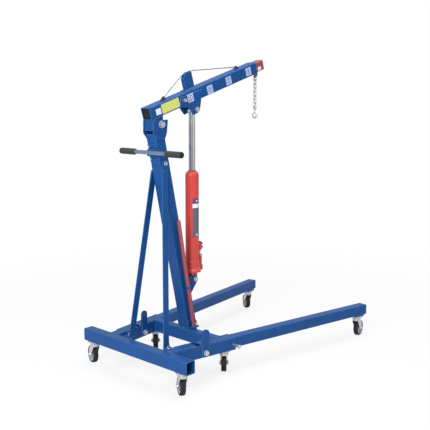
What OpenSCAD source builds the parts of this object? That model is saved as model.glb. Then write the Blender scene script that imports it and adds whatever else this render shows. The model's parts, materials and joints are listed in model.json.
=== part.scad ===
// Folding engine hoist: a wheeled base with fold-up legs, a leaning post,
// a telescopic boom and a long hydraulic ram. Millimetres, +X to the front,
// +Y to the left, +Z up, floor at z = 0.

/* [Base frame] */
// Length of the rear cross tube
rear_tube_l = 828; // [780:2:900]
// Depth of the rear cross tube, front to back
rear_tube_d = 62; // [56:1:66]
// Height of the rear cross tube, the rails, the brackets and the crossbar
base_h = 70; // [66:1:78]
// Wall of the frame tubes
wall = 4; // [3:0.5:5]
// Outer corner radius of the tubes
tube_r = 6; // [5.5:0.5:8]
// Angle that each leg splays out from straight ahead
splay = 9.5; // [8:0.5:11]
// Half distance between the rail centres at the rear face of the base
rail_y = 207; // [200:1:215]
// Depth of the front crossbar, front to back
crossbar_d = 55; // [50:1:60]
// Rear face of the front crossbar, from the rear face of the base
crossbar_x = 382; // [376:1:386]

/* [Legs] */
// Width of a leg tube
leg_w = 61; // [58:1:64]
// Height of a leg tube
leg_h = 62; // [58:1:64]
// Front end of a leg, along its own centreline
leg_end = 1566; // [1540:2:1620]
// Leg pivot bolt, along the leg
pivot_u = 280; // [276:1:286]
// Leg pivot bolt, below the top of the base
pivot_drop = 45; // [42:1:46]
// Lock pin, along the leg
lock_u = 470; // [466:1:472]
// Front end of the leg bracket, along the leg
bracket_end = 488; // [486:1:496]
// Thickness of the leg bracket plates
plate_t = 5; // [4:0.5:6]
// Gap between a leg and each bracket plate
leg_gap = 1.5; // [1:0.1:2]
// Diameter of the leg pivot bolts
pivot_d = 16; // [14:1:18]
// Diameter of the lock pins
lock_d = 14; // [12:1:15]
// Height of the storage hole above the leg pivot
store_rise = 102; // [98:1:106]

/* [Casters] */
// Overall height of a caster
caster_h = 135; // [130:1:145]
// Diameter of a caster wheel
wheel_d = 100; // [96:1:102]
// Width of the tyre
tyre_w = 30; // [26:1:32]
// Distance from the swivel axis back to the wheel axle
trail = 33; // [30:1:34]
// Diameter of a wheel axle
axle_d = 12; // [10:1:12]
// Middle casters, along the leg line
mid_caster_u = 433; // [428:1:438]
// From the front end of a leg back to its caster
front_caster_back = 55; // [45:1:75]
// Rear casters, out from the middle of the base
rear_caster_y = 357; // [340:1:370]

/* [Post] */
// Width of the post across the hoist
post_w = 72; // [70:1:74]
// Depth of the post
post_d = 70; // [66:1:72]
// Angle that the post leans back
lean = 12.4; // [11.8:0.1:12.8]
// Middle of the post where its axis meets the top of the base
post_x = 429.5; // [426:0.5:432]
// Thickness of the base plate under the post
foot_t = 8; // [6:1:10]
// Thickness of the cheek plates on the post
cheek_t = 5; // [4:0.5:6]
// Height of the brace bolt above the top of the base
brace_z = 957; // [940:1:970]
// Height of the push bar above the top of the base
push_bar_z = 1016; // [1010:1:1030]
// Half length of the push bar
push_bar_half = 233; // [220:1:250]
// Diameter of the push bar tube
push_bar_d = 22; // [20:1:24]

/* [Boom] */
// Boom pivot, from the rear face of the base
boom_x = 193; // [191:0.5:195]
// Boom pivot above the top of the base
boom_z = 1164; // [1160:1:1168]
// Angle of the boom above level at rest
boom_tilt = 17.1; // [16:0.1:18]
// Width and height of the outer boom tube
boom_w = 68; // [66:0.5:68]
// Distance from the pivot up to the underside of the boom
boom_rise = 38; // [37:0.5:40]
// Rear end of the boom behind the pivot
boom_tail = 50.5; // [46:0.5:52]
// Front end of the outer boom ahead of the pivot
boom_front = 838; // [820:1:860]
// Gap between the inner and the outer boom
slide_gap = 1; // [0.8:0.1:1.5]
// How far the inner boom stands out when it is pushed in
inner_out = 72; // [66:1:90]
// Distance between the boom's pin holes
hole_pitch = 168; // [160:1:170]
// First pin hole ahead of the pivot
first_hole = 194; // [190:1:198]
// Diameter of the boom pivot bolt
boom_bolt_d = 20; // [18:1:22]
// Height of the strut on the boom
strut_h = 89; // [80:1:100]
// Diameter of the guy cable
cable_d = 6; // [5:0.5:7]

/* [Ram] */
// Diameter of the ram's outer cylinder
jacket_d = 76; // [72:1:80]
// Top of the outer cylinder above the top of the base
jacket_top = 898; // [880:1:905]
// Diameter of the ram rod
rod_d = 36; // [32:1:38]
// Upper ram pin, from the rear face of the base
ram_x = 461; // [460:0.5:462]
// Upper ram pin above the top of the base
ram_top_z = 1240; // [1238:1:1242]
// Lower ram pin above the top of the base
ram_foot_z = 281; // [278:1:284]
// Diameter of the ram pins
ram_pin_d = 16; // [14:1:18]

/* [Chain and hook] */
// Wire diameter of a chain link
wire_d = 7; // [6:0.5:7.5]
// Distance from one chain link to the next
link_pitch = 22.6; // [22:0.1:24]
// Number of chain links
link_count = 8; // [6:2:10]
// Inside width of a chain link
link_gap = 10; // [9.5:0.5:12]
// Diameter of the hook's body
hook_d = 11; // [10:1:13]
// Radius of the hook's bowl at the middle of its body
bowl_r = 16; // [15:1:20]

/* [Hidden] */
$fn = 64;

SIDES = [-1, 1];
SIDE_NAMES = ["right", "left"];
// Each caster: name, which leg line it stands on, and the way it trails
CASTERS = [
  ["rear_right", -1, 58],
  ["rear_left", 1, 73],
  ["middle_right", -1, 42],
  ["middle_left", 1, 48],
  ["front_right", -1, 11],
  ["front_left", 1, 59],
];

// Shared clearances
run_gap = 0.1;    // radius gap of a pin or bolt that turns in its bore
flat_gap = 0.3;   // gap between faces that slide past each other
weld_bite = 0.5;  // how far a welded plate sinks into what carries it
cut_half = 60;    // half length of a bore that is cut right across a piece

// Levels
base_top = caster_h + base_h;
base_low = caster_h;
leg_low = base_top - leg_h;
pad_t = base_h - leg_h;
floor_t = pad_t - 0.5;
front_caster_u = leg_end - front_caster_back;

// Leg pocket
pocket_half = leg_w / 2 + leg_gap;
bracket_half = pocket_half + plate_t;
pivot_z = base_top - pivot_drop;
lock_z = base_top - 38;
leg_rear = pivot_u - 20;
leg_swing_r = norm([pivot_u - leg_rear, pivot_drop]);
rail_end = pivot_u - leg_swing_r - 5;
bracket_rear = 122;
bracket_floor = mid_caster_u - 38;
tab_w = 45;
tab_t = 5;
store_z = pivot_z + store_rise;
tab_top = store_z + tab_w / 2 + 4;
crossbar_front = crossbar_x + crossbar_d;

// Fasteners
m8 = 8;
m12 = 12;

// Braces, as flat bars
brace_w = 42;
brace_t = 5;

// Post lines, as x for a height above the top of the base
lean_tan = tan(lean);
half_depth = post_d / 2 / cos(lean);
function post_mid(h) = post_x - lean_tan * h;
function post_rear(h) = post_mid(h) - half_depth;
function post_front(h) = post_mid(h) + half_depth;
post_top = boom_z - 51;
post_half = post_w / 2;
cheek_half = post_half + cheek_t;
foot_half = cheek_half + 3;
foot_bolt_rise = foot_t + 15;
foot_bolt_z = base_top + foot_bolt_rise;
foot_bolt_x = post_mid(foot_bolt_rise) + 17;

// Boom frame: a runs along the boom from the pivot, n is square to it
boom_half = boom_w / 2;
boom_mid_n = boom_rise + boom_half;
boom_top_n = boom_rise + boom_w;
inner_w = boom_w - 2 * wall - 2 * slide_gap;
inner_end = boom_front + inner_out;
inner_rear = first_hole - 14;
inner_low_n = boom_mid_n - inner_w / 2;
lug_half = post_half - 4.5;
bush_half = post_half - flat_gap;
function boom_under(x) = boom_rise / cos(boom_tilt) + x * tan(boom_tilt);

// Chain
hang_a = boom_front + 13;
hang_n = inner_low_n - 23;
hang_hole_d = wire_d + 5;
hang_drop = 1.2;   // from the middle of the lug's hole down to the middle of the link's wire
hang_x = boom_x + hang_a * cos(boom_tilt) - hang_n * sin(boom_tilt);
hang_z = base_top + boom_z + hang_a * sin(boom_tilt) + hang_n * cos(boom_tilt);
link_in = link_pitch + flat_gap;
link_top_z = hang_z - (link_in + wire_d) / 2;
hook_pin_z = link_top_z - (link_count - 1) * link_pitch - (link_in + wire_d) / 2;

// Hook
eye_t = 8;       // thickness of the eye's ring
eye_r = 10;      // radius of the eye at the middle of its ring
eye_out_r = eye_r + eye_t / 2;
eye_z = hook_pin_z + (wire_d + eye_t) / 2 + flat_gap - eye_r;
bowl_z = eye_z - eye_out_r - bowl_r - 13;
latch_y = 2;
latch_z = bowl_z + bowl_r + 4.6;
latch_fall = 67;
latch_t = 2;
latch_l = 17.8;
latch_w = 8;

// Ram
ram_low = base_top + ram_foot_z;
ram_high = base_top + ram_top_z;
ram_base_z = ram_low + 42;
jacket_z = base_top + jacket_top;
piston_d = jacket_d - 2 * 11;
piston_z = base_top + 600;
ram_lug_half = 18.5;
ram_plate_t = 6;
rod_head_half = 17;
stub_gap = 1;
lever_x = ram_x + jacket_d / 2 + 10;
lever_z = base_top + 456;
lever_half = 12.5;
lever_lug_in = lever_half + 2 * flat_gap;
lever_lug_t = 4;
lever_pin_d = 8;
plunger_d = 12;
pump_x = lever_x + 14;
pump_wall = 6;
pump_block_h = 30;
pump_bore_z = ram_base_z + 30;
pump_mouth_z = ram_base_z + 88;
ram_eye_d = 44;
flange_r = jacket_d / 2 + 12;
ram_base_r = jacket_d / 2 + 3;
valve_d = 10;
valve_x = ram_x - ram_base_r;
valve_z = ram_base_z + 28;
valve_in = 16;

// Stored pump handle
handle_d = 20;
handle_y = -(foot_half + handle_d / 2 + 2);
handle_low = [419, base_top + 8];
handle_high = [300, base_top + 640];
handle_lean = atan((handle_low[0] - handle_high[0]) / (handle_high[1] - handle_low[1]));
handle_len = norm(handle_high - handle_low);

// Push bar
push_x = post_rear(push_bar_z) - push_bar_d / 2 - 9;
push_z = base_top + push_bar_z;

// Tyre outline: radius and half width of its crown and its shoulder
tyre_crown = [wheel_d / 2, tyre_w / 2 - 7];
tyre_side = [wheel_d / 2 - 5, tyre_w / 2];
function tyre_reach(along) =
  max([for (p = [tyre_crown, tyre_side]) p[0] * abs(cos(along)) + p[1] * abs(sin(along))]);

// Swivel axis of a caster
function leg_point(side, u) = [u * cos(splay), side * (rail_y + u * sin(splay))];
function caster_at(i) =
  i < 2 ? [rear_tube_d / 2, CASTERS[i][1] * rear_caster_y]
  : leg_point(CASTERS[i][1], i < 4 ? mid_caster_u : front_caster_u);
function wheel_at(i) = caster_at(i) + trail * [cos(CASTERS[i][2]), sin(CASTERS[i][2])];

// The box around the hoist, which sets where the origin is
leg_tip_y = rail_y + leg_end * sin(splay) + leg_w / 2 * cos(splay);
front_x = max(wheel_at(4)[0] + tyre_reach(CASTERS[4][2]), leg_point(1, leg_end)[0]);
left_y = max(wheel_at(5)[1] + tyre_reach(90 - CASTERS[5][2]), leg_tip_y);
right_y = leg_tip_y;
mid_x = front_x / 2;
mid_y = (left_y - right_y) / 2;

// ---------------------------------------------------------------- helpers

// Everything is drawn from the rear face and the middle of the base
module place() {
  translate([-mid_x, -mid_y, 0]) children();
}

module leg_frame(side) {
  translate([0, side * rail_y, 0]) rotate([0, 0, side * splay]) children();
}

module boom_frame() {
  translate([boom_x, 0, base_top + boom_z]) rotate([0, -boom_tilt, 0]) children();
}

// Corner points of a rounded rectangle
corner_steps = 3;
function round_rect(w, h, r) = [
  for (c = [[1, 1, 0], [-1, 1, 90], [-1, -1, 180], [1, -1, 270]], k = [0:corner_steps])
    [
      c[0] * (w / 2 - r) + r * cos(c[2] + 90 * k / corner_steps),
      c[1] * (h / 2 - r) + r * sin(c[2] + 90 * k / corner_steps)
    ]
];

// Hollow box tube along +X, its section in Y and Z
module tube_x(l, w, h) {
  rotate([90, 0, 90]) linear_extrude(l) difference() {
    polygon(round_rect(w, h, tube_r));
    polygon(round_rect(w - 2 * wall, h - 2 * wall, tube_r - wall));
  }
}

// A plate with its outline in X and Z, its thickness in Y from y0 to y1
module plate_xz(points, y0, y1) {
  translate([0, y1, 0]) rotate([90, 0, 0]) linear_extrude(y1 - y0) polygon(points);
}

// The same plate on both sides of the middle plane, from y0 out to y1
module side_plates(points, y0, y1) {
  plate_xz(points, y0, y1);
  plate_xz(points, -y1, -y0);
}

// A round bar along Y from y0 to y1
module bar_y(d, y0, y1) {
  translate([0, y0, 0]) rotate([-90, 0, 0]) cylinder(d = d, h = y1 - y0);
}

// The same bar on both sides of the middle plane, from y0 out to y1
module side_bars(d, y0, y1) {
  bar_y(d, y0, y1);
  bar_y(d, -y1, -y0);
}

// A round bar along X from x0 to x1
module bar_x(d, x0, x1) {
  translate([x0, 0, 0]) rotate([0, 90, 0]) cylinder(d = d, h = x1 - x0);
}

function across_corners(d) = 1.7 * d;

// Hex bolt along Y through a grip from y0 to y1, head at y0, nut at y1
module bolt_y(d, y0, y1) {
  head_h = 0.6 * d;
  bar_y(d, y0 - 1, y1 + 1);
  translate([0, y0 - head_h - 2, 0]) rotate([-90, 0, 0]) cylinder(d = across_corners(d), h = head_h, $fn = 6);
  bar_y(1.9 * d, y0 - 2, y0);
  bar_y(1.9 * d, y1, y1 + 2);
  translate([0, y1 + 2, 0]) rotate([-90, 0, 0]) cylinder(d = across_corners(d), h = 0.8 * d, $fn = 6);
}

// ---------------------------------------------------------------- base

module rear_cross_tube() {
  color("royalblue") place()
    translate([rear_tube_d / 2, -rear_tube_l / 2, base_low + base_h / 2])
      rotate([0, 0, 90]) tube_x(rear_tube_l, rear_tube_d, base_h);
}

// Lug on the inner face of a rail that carries the foot of a brace
foot_x = 122;
foot_y = 158;
foot_top = base_top - 18;
foot_in = 20;    // from the foot bolt in to the end of the foot tab
foot_out = 13;   // from the foot bolt out to the edge of the foot tab
lug_t = 6;
lug_l = 46;
lug_reach = 54;

module side_rail(side) {
  difference() {
    leg_frame(side) translate([0, 0, base_low + base_h / 2]) tube_x(rail_end, 2 * pocket_half, base_h);
    translate([-100, -500, 0]) cube([100 + rear_tube_d, 1000, base_top + 10]);
  }
  difference() {
    translate([foot_x - lug_l / 2, side > 0 ? foot_y - foot_in : -foot_y - lug_reach, foot_top - lug_t])
      cube([lug_l, foot_in + lug_reach, lug_t]);
    leg_frame(side) translate([0, side > 0 ? -pocket_half + weld_bite : -100 + pocket_half - weld_bite, 0])
      cube([300, 100, base_top]);
    leg_frame(side) translate([bracket_rear - flat_gap, side > 0 ? -bracket_half : bracket_half - 100, 0])
      cube([300, 100, base_top]);
    translate([foot_x, side * foot_y, 0]) cylinder(d = m12 + 2 * run_gap, h = base_top);
  }
}

module side_rails() {
  color("royalblue") place() for (side = SIDES) side_rail(side);
}

module front_crossbar() {
  color("royalblue") place() difference() {
    translate([crossbar_x + crossbar_d / 2, -rear_tube_l / 2, base_low + base_h / 2])
      rotate([0, 0, 90]) tube_x(rear_tube_l, crossbar_d, base_h);
    leg_frame(1) translate([200, -bracket_half, 0]) cube([400, 400, base_top + 10]);
    leg_frame(-1) translate([200, -400 + bracket_half, 0]) cube([400, 400, base_top + 10]);
  }
}

module leg_bracket(side) {
  bore = pivot_d + 2 * run_gap;
  color("royalblue") place() leg_frame(side) difference() {
    union() {
      for (v = [-bracket_half, pocket_half])
        translate([bracket_rear, v, base_low]) cube([bracket_end - bracket_rear, plate_t, base_h]);
      translate([bracket_floor, -pocket_half - 1, base_low])
        cube([bracket_end - bracket_floor, 2 * pocket_half + 2, floor_t]);
      translate([pivot_u - tab_w / 2, -bracket_half - tab_t, base_low + 6])
        cube([tab_w, tab_t + 0.5, tab_top - tab_w / 2 - base_low - 6]);
      translate([pivot_u, 0, tab_top - tab_w / 2]) bar_y(tab_w, -bracket_half - tab_t, -bracket_half + 0.5);
      translate([pivot_u - tab_w / 2, -bracket_half - 0.5, base_top - 20])
        cube([tab_w, plate_t + 0.5, tab_top - tab_w / 2 - base_top + 20]);
      translate([pivot_u, 0, tab_top - tab_w / 2]) bar_y(tab_w, -bracket_half - 0.5, -pocket_half);
    }
    translate([pivot_u, 0, pivot_z]) bar_y(bore, -cut_half, cut_half);
    translate([lock_u, 0, lock_z]) bar_y(lock_d + 2 * run_gap, -cut_half, cut_half);
    translate([pivot_u, 0, store_z]) bar_y(lock_d + 2 * run_gap, -cut_half, cut_half);
  }
}

module leg_pivot_bolts() {
  color("silver") place() for (side = SIDES)
    leg_frame(side) translate([pivot_u, 0, pivot_z]) bolt_y(pivot_d, -bracket_half - tab_t, bracket_half);
}

module leg(side) {
  color("royalblue") place() leg_frame(side) difference() {
    union() {
      translate([leg_rear, 0, leg_low + leg_h / 2]) tube_x(leg_end - leg_rear, leg_w, leg_h);
      translate([leg_end - wall - 1, 0, leg_low + leg_h / 2]) rotate([90, 0, 90])
        linear_extrude(wall) polygon(round_rect(leg_w - wall, leg_h - wall, tube_r - wall / 2));
      translate([front_caster_u - 36, -leg_w / 2 + 2, base_low]) cube([72, leg_w - 4, pad_t + 1]);
    }
    translate([pivot_u, 0, pivot_z]) bar_y(pivot_d + 2 * run_gap, -cut_half, cut_half);
    translate([pivot_u + store_rise, 0, pivot_z]) bar_y(lock_d + 4 * run_gap, -cut_half, cut_half);
    translate([lock_u, 0, lock_z]) bar_y(lock_d + 4 * run_gap, -cut_half, cut_half);
  }
}

// The pin is drawn back so that its tip only fills the near bracket plate
pin_out = 50;
pin_len = pin_out + plate_t - flat_gap;

module lock_pin(side) {
  tip = -pocket_half - flat_gap;
  color("silver") place() leg_frame(side) translate([lock_u, 0, lock_z]) {
    bar_y(lock_d, tip - pin_len, tip);
    bar_y(lock_d + 10, tip - pin_len - 4, tip - pin_len);
  }
}

// ---------------------------------------------------------------- casters

race_d = 50;
kingpin_d = 12;
crown_z = wheel_d / 2 + wheel_d / 2 + 6;
crown_t = 4;
fork_t = 2.5;
fork_in = tyre_w / 2 + 3;

module caster_plate() {
  top_t = 4;
  race_low = crown_z + crown_t + flat_gap;
  race_high = caster_h - top_t - 12;
  translate([-30, -28, caster_h - top_t]) cube([60, 56, top_t]);
  translate([0, 0, race_high]) cylinder(d1 = race_d, d2 = race_d - 6, h = 13);
  translate([0, 0, race_low]) cylinder(d = race_d, h = race_high - race_low + 0.5);
  translate([0, 0, crown_z - 3]) cylinder(d = kingpin_d, h = 20);
  translate([0, 0, crown_z - 4 - flat_gap]) cylinder(d = kingpin_d + 8, h = 4);
}

module caster_plates_base() {
  color("silver") place() for (i = [0:3]) {
    p = caster_at(i);
    translate([p[0], p[1], 0]) rotate([0, 0, i < 2 ? 0 : CASTERS[i][1] * splay]) caster_plate();
  }
}

module leg_caster_plate(i) {
  p = caster_at(i);
  color("silver") place() translate([p[0], p[1], 0]) rotate([0, 0, CASTERS[i][1] * splay]) caster_plate();
}

// A caster's own frame: +X is the way it trails
module caster_frame(i) {
  p = caster_at(i);
  translate([p[0], p[1], 0]) rotate([0, 0, CASTERS[i][2]]) children();
}

module fork(i) {
  axle_z = wheel_d / 2;
  outline = [
    [-19, crown_z + 1], [-17, crown_z - 10], [trail - 13, axle_z - 6], [trail - 8, axle_z - 13],
    [trail + 8, axle_z - 13], [trail + 13, axle_z - 4], [trail - 2, crown_z - 6], [19, crown_z + 1]
  ];
  color("silver") place() caster_frame(i) difference() {
    union() {
      for (y = [-fork_in - fork_t, fork_in]) plate_xz(outline, y, y + fork_t);
      intersection() {
        translate([0, 0, crown_z]) cylinder(d = race_d - 2, h = crown_t);
        translate([-30, -fork_in - fork_t, crown_z]) cube([60, 2 * (fork_in + fork_t), crown_t]);
      }
      translate([trail, 0, axle_z]) {
        bar_y(axle_d, -fork_in - fork_t - 1, fork_in + fork_t + 1);
        translate([0, -fork_in - fork_t - 5, 0]) rotate([-90, 0, 0]) cylinder(d = 20, h = 5, $fn = 6);
        translate([0, fork_in + fork_t, 0]) rotate([-90, 0, 0]) cylinder(d = 20, h = 5, $fn = 6);
      }
    }
    translate([0, 0, crown_z - 20]) cylinder(d = kingpin_d + 2 * run_gap, h = 40);
  }
}

rim_r = wheel_d / 2 - 10;

module wheel(i) {
  hub_half = fork_in - flat_gap;
  web = 5;
  color("gray") place() caster_frame(i) translate([trail, 0, wheel_d / 2]) rotate([90, 0, 0])
    rotate_extrude() polygon([
      [axle_d / 2 + run_gap, -hub_half], [14, -hub_half], [16, -web], [rim_r - 6, -web],
      [rim_r - 4, -tyre_w / 2 + 2], [rim_r, -tyre_w / 2 + 2], [rim_r, tyre_w / 2 - 2],
      [rim_r - 4, tyre_w / 2 - 2], [rim_r - 6, web], [16, web], [14, hub_half],
      [axle_d / 2 + run_gap, hub_half]
    ]);
}

module tyre(i) {
  color("black") place() caster_frame(i) translate([trail, 0, wheel_d / 2]) rotate([90, 0, 0])
    rotate_extrude() polygon([
      [rim_r, -tyre_side[1] + 2], [rim_r + 1, -tyre_side[1]], [tyre_side[0], -tyre_side[1]],
      [tyre_crown[0], -tyre_crown[1]], [tyre_crown[0], tyre_crown[1]],
      [tyre_side[0], tyre_side[1]], [rim_r + 1, tyre_side[1]], [rim_r, tyre_side[1] - 2]
    ]);
}

// ---------------------------------------------------------------- post

module post_base() {
  plate_rear = post_rear(0) - 12;
  plate_front = post_front(0) + 6;
  cheek_h = 56;
  gusset_y = 26;
  gusset_t = 6;
  color("royalblue") place() difference() {
    union() {
      translate([plate_rear, -foot_half, base_top]) cube([plate_front - plate_rear, 2 * foot_half, foot_t]);
      side_plates([
          [post_rear(0), base_top + 1], [post_front(0), base_top + 1],
          [post_front(cheek_h), base_top + cheek_h - 14], [post_front(cheek_h) - 14, base_top + cheek_h],
          [post_rear(cheek_h) + 14, base_top + cheek_h], [post_rear(cheek_h), base_top + cheek_h - 14]
        ], post_half, cheek_half);
      side_plates([
          [crossbar_front, base_top + 1], [plate_front - 4, base_top + 1], [crossbar_front, base_low + 8]
        ], gusset_y - gusset_t / 2, gusset_y + gusset_t / 2);
    }
    translate([foot_bolt_x, 0, foot_bolt_z]) bar_y(m12 + 2 * run_gap, -cut_half, cut_half);
  }
}

module post() {
  color("royalblue") place() difference() {
    translate([post_x, 0, base_top]) rotate([0, -90 - lean, 0]) translate([-60, 0, 0])
      tube_x(boom_z + 200, post_w, post_d);
    translate([0, -100, base_top + post_top]) cube([600, 200, 400]);
    translate([300, -100, base_top + foot_t - 200]) cube([400, 200, 200]);
    translate([post_mid(brace_z), 0, base_top + brace_z]) bar_y(m12 + 2 * run_gap, -cut_half, cut_half);
    translate([foot_bolt_x, 0, foot_bolt_z]) bar_y(m12 + 2 * run_gap, -cut_half, cut_half);
  }
}

module post_head() {
  cheek = [[-56, 22], [47, 25], [39, -45], [26, -76], [-32, -76], [-57, -45]];
  color("royalblue") place() translate([boom_x, 0, base_top + boom_z]) difference() {
    side_plates(cheek, post_half, cheek_half);
    bar_y(boom_bolt_d + 2 * run_gap, -cut_half, cut_half);
  }
}

// Each brace is a bent flat bar: a top tab on the post, the bar, and a foot tab
module brace(side) {
  top = [post_mid(brace_z), side * (post_half + brace_t / 2), base_top + brace_z];
  low = [foot_x, side * foot_y, foot_top + brace_t / 2];
  knee = top + [-7, side * 4, -45];
  heel = low + [0, side * (brace_t / 2 - foot_in), 0];
  ankle = heel + [2, side * -3, 26];
  module blade(p) {
    translate(p) cube([brace_w * 0.9, brace_t, brace_t], center = true);
  }
  color("royalblue") place() difference() {
    union() {
      translate(top) translate([-brace_w / 2, -brace_t / 2, -45]) cube([brace_w, brace_t, 62]);
      hull() {
        blade(knee + [0, 0, 4]);
        blade(ankle);
      }
      hull() {
        blade(ankle);
        translate(heel) cube([brace_w, brace_t, brace_t], center = true);
      }
      translate(low + [-brace_w / 2, side > 0 ? -foot_in : -foot_out, -brace_t / 2])
        cube([brace_w, foot_in + foot_out, brace_t]);
    }
    translate(top) bar_y(m12 + 2 * run_gap, -cut_half, cut_half);
    translate([0, 0, base_top + brace_z - 200]) translate([0, side > 0 ? post_half - 40 : -post_half, 0])
      cube([600, 40, 400]);
    translate([foot_x, side * foot_y, foot_top - 30]) cylinder(d = m12 + 2 * run_gap, h = 45);
  }
}

module braces() {
  for (side = SIDES) brace(side);
}

module frame_bolts() {
  color("silver") place() {
    translate([post_mid(brace_z), 0, base_top + brace_z])
      bolt_y(m12, -post_half - brace_t, post_half + brace_t);
    translate([foot_bolt_x, 0, foot_bolt_z]) bolt_y(m12, -cheek_half, cheek_half);
    for (side = SIDES) translate([foot_x, side * foot_y, foot_top - lug_t]) rotate([90, 0, 0])
      bolt_y(m12, 0, lug_t + brace_t);
    translate([ram_x, 0, ram_low])
      bolt_y(ram_pin_d, -ram_lug_half - flat_gap - ram_plate_t, ram_lug_half + flat_gap + ram_plate_t);
    for (h = [push_bar_z - saddle_bolt, push_bar_z + saddle_bolt])
      translate([post_rear(h) - saddle_t, saddle_bolt_y, base_top + h]) rotate([0, -90 - lean, 0])
        cylinder(d = across_corners(m8), h = 5, $fn = 6);
  }
}

// ---------------------------------------------------------------- push bar

saddle_w = 58;
saddle_half = 46;
saddle_t = 5;
saddle_bolt = 32;
saddle_bolt_y = 18;

// Plate on the rear of the post, and the block in which the push bar is held
module push_bar_bracket() {
  low = push_bar_z - saddle_half;
  high = push_bar_z + saddle_half;
  color("royalblue") place() difference() {
    union() {
      plate_xz([
          [post_rear(low), base_top + low], [post_rear(high), base_top + high],
          [post_rear(high) - saddle_t, base_top + high], [post_rear(low) - saddle_t, base_top + low]
        ], -saddle_w / 2, saddle_w / 2);
      plate_xz([
          [push_x - 6, push_z - 18], [post_rear(push_bar_z - 18) - 1, push_z - 18],
          [post_rear(push_bar_z + 18) - 1, push_z + 18], [push_x - 6, push_z + 18]
        ], -saddle_w / 2 + 8, saddle_w / 2 - 8);
    }
    translate([push_x, 0, push_z]) bar_y(push_bar_d, -cut_half, cut_half);
  }
}

module push_bar() {
  color("lightsteelblue") place() translate([push_x, 0, push_z]) difference() {
    bar_y(push_bar_d, -push_bar_half, push_bar_half);
    bar_y(push_bar_d - 4, -push_bar_half - 1, push_bar_half + 1);
  }
}

module push_bar_grips() {
  grip_l = 112;
  grip_d = push_bar_d + 12;
  cap_t = 4;
  color("black") place() translate([push_x, 0, push_z]) difference() {
    side_bars(grip_d, push_bar_half - grip_l, push_bar_half + cap_t);
    bar_y(push_bar_d, -push_bar_half, push_bar_half);
  }
}

// ---------------------------------------------------------------- boom

module outer_boom() {
  color("royalblue") place() boom_frame() difference() {
    translate([-boom_tail, 0, boom_mid_n]) tube_x(boom_tail + boom_front, boom_w, boom_w);
    for (k = [0:3]) translate([first_hole + k * hole_pitch, 0, boom_mid_n])
      bar_y(m12 + 2 * run_gap, -boom_half - 1, -boom_half + wall + 1);
  }
}

module boom_pivot_lug() {
  rear = -54;
  front = 20;
  low = -32;
  back_t = 5;
  side_outline = [
    [rear, low], [-20, low], [12, -24], [front, -10], [front, boom_under(front)], [rear, boom_under(rear)]
  ];
  color("royalblue") place() translate([boom_x, 0, base_top + boom_z]) difference() {
    union() {
      side_plates(side_outline, lug_half - back_t, lug_half);
      plate_xz([
          [rear, low], [rear + back_t, low],
          [rear + back_t, boom_under(rear + back_t)], [rear, boom_under(rear)]
        ], -lug_half, lug_half);
      bar_y(boom_bolt_d + 14, -bush_half, bush_half);
    }
    bar_y(boom_bolt_d + 2 * run_gap, -cut_half, cut_half);
  }
}

module boom_pivot_bolt() {
  color("silver") place() translate([boom_x, 0, base_top + boom_z])
    bolt_y(boom_bolt_d, -cheek_half, cheek_half);
}

clevis_t = 4;

// Upper ram pin in the boom frame
pin_dx = ram_x - boom_x;
pin_dz = ram_top_z - boom_z;
pin_a = pin_dx * cos(boom_tilt) + pin_dz * sin(boom_tilt);
pin_n = pin_dz * cos(boom_tilt) - pin_dx * sin(boom_tilt);

// Cheek plates on the boom's sides that carry the upper ram pin
module boom_clevis() {
  outline = [
    [first_hole - 30, boom_rise + 4], [first_hole - 10, boom_rise + 52], [pin_a + 67, boom_rise + 48],
    [pin_a + 42, pin_n + 24], [pin_a + 20, pin_n - 14], [pin_a + 5, pin_n - 20], [pin_a - 32, pin_n - 22],
    [pin_a - 57, boom_rise - 16]
  ];
  color("royalblue") place() boom_frame() difference() {
    side_plates(outline, boom_half, boom_half + clevis_t);
    translate([pin_a, 0, pin_n]) bar_y(ram_pin_d, -cut_half, cut_half);
    translate([first_hole, 0, boom_mid_n]) bar_y(m12 + 2 * run_gap, -cut_half, cut_half);
  }
}

// Stub pins of the upper ram joint, the clevis bolts and the chain lug bolt
module boom_fasteners() {
  reach = boom_half + clevis_t;
  color("silver") place() {
    translate([ram_x, 0, ram_high]) {
      side_bars(ram_pin_d, rod_head_half + stub_gap, reach + 1);
      side_bars(ram_pin_d + 12, reach, reach + 9);
    }
    boom_frame() for (s = SIDES) translate([first_hole + 36, s * (reach + 3), boom_rise + 15])
      rotate([90, 0, 0]) cylinder(d = 18, h = 6, center = true, $fn = 6);
  }
}

// Backed out so that its tip stays within the outer boom's wall
module boom_lock_bolt() {
  tip = -boom_half + wall - 0.5;
  seat = -boom_half - clevis_t;
  color("silver") place() boom_frame() translate([first_hole, 0, boom_mid_n]) {
    bar_y(m12, seat - 14, tip);
    translate([0, seat - 22, 0]) rotate([-90, 0, 0]) cylinder(d = across_corners(m12), h = 8.5, $fn = 6);
  }
}

strut_rear = 256;
strut_front = 324;
strut_half = 11;

module boom_strut() {
  top = boom_top_n + strut_h;
  color("royalblue") place() boom_frame() {
    plate_xz([
        [strut_rear, boom_top_n], [strut_front, boom_top_n], [strut_front, top],
        [strut_rear + 18, top], [strut_rear, top - 24]
      ], -strut_half, strut_half);
    translate([strut_rear - 10, -20, boom_top_n]) cube([strut_front - strut_rear + 20, 40, 4]);
  }
}

// Cable over the strut between two anchor blocks on the boom's top
cable_rise = cable_d / 2 + 0.6;
cable_path = [
  [96, boom_top_n + 13],
  [strut_rear + 18, boom_top_n + strut_h + cable_rise],
  [strut_front, boom_top_n + strut_h + cable_rise],
  [686, boom_top_n + 13]
];

module cable_run(a, b, d) {
  step = b - a;
  translate([a[0], 0, a[1]]) rotate([0, 90 - atan2(step[1], step[0]), 0]) cylinder(d = d, h = norm(step));
}

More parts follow.
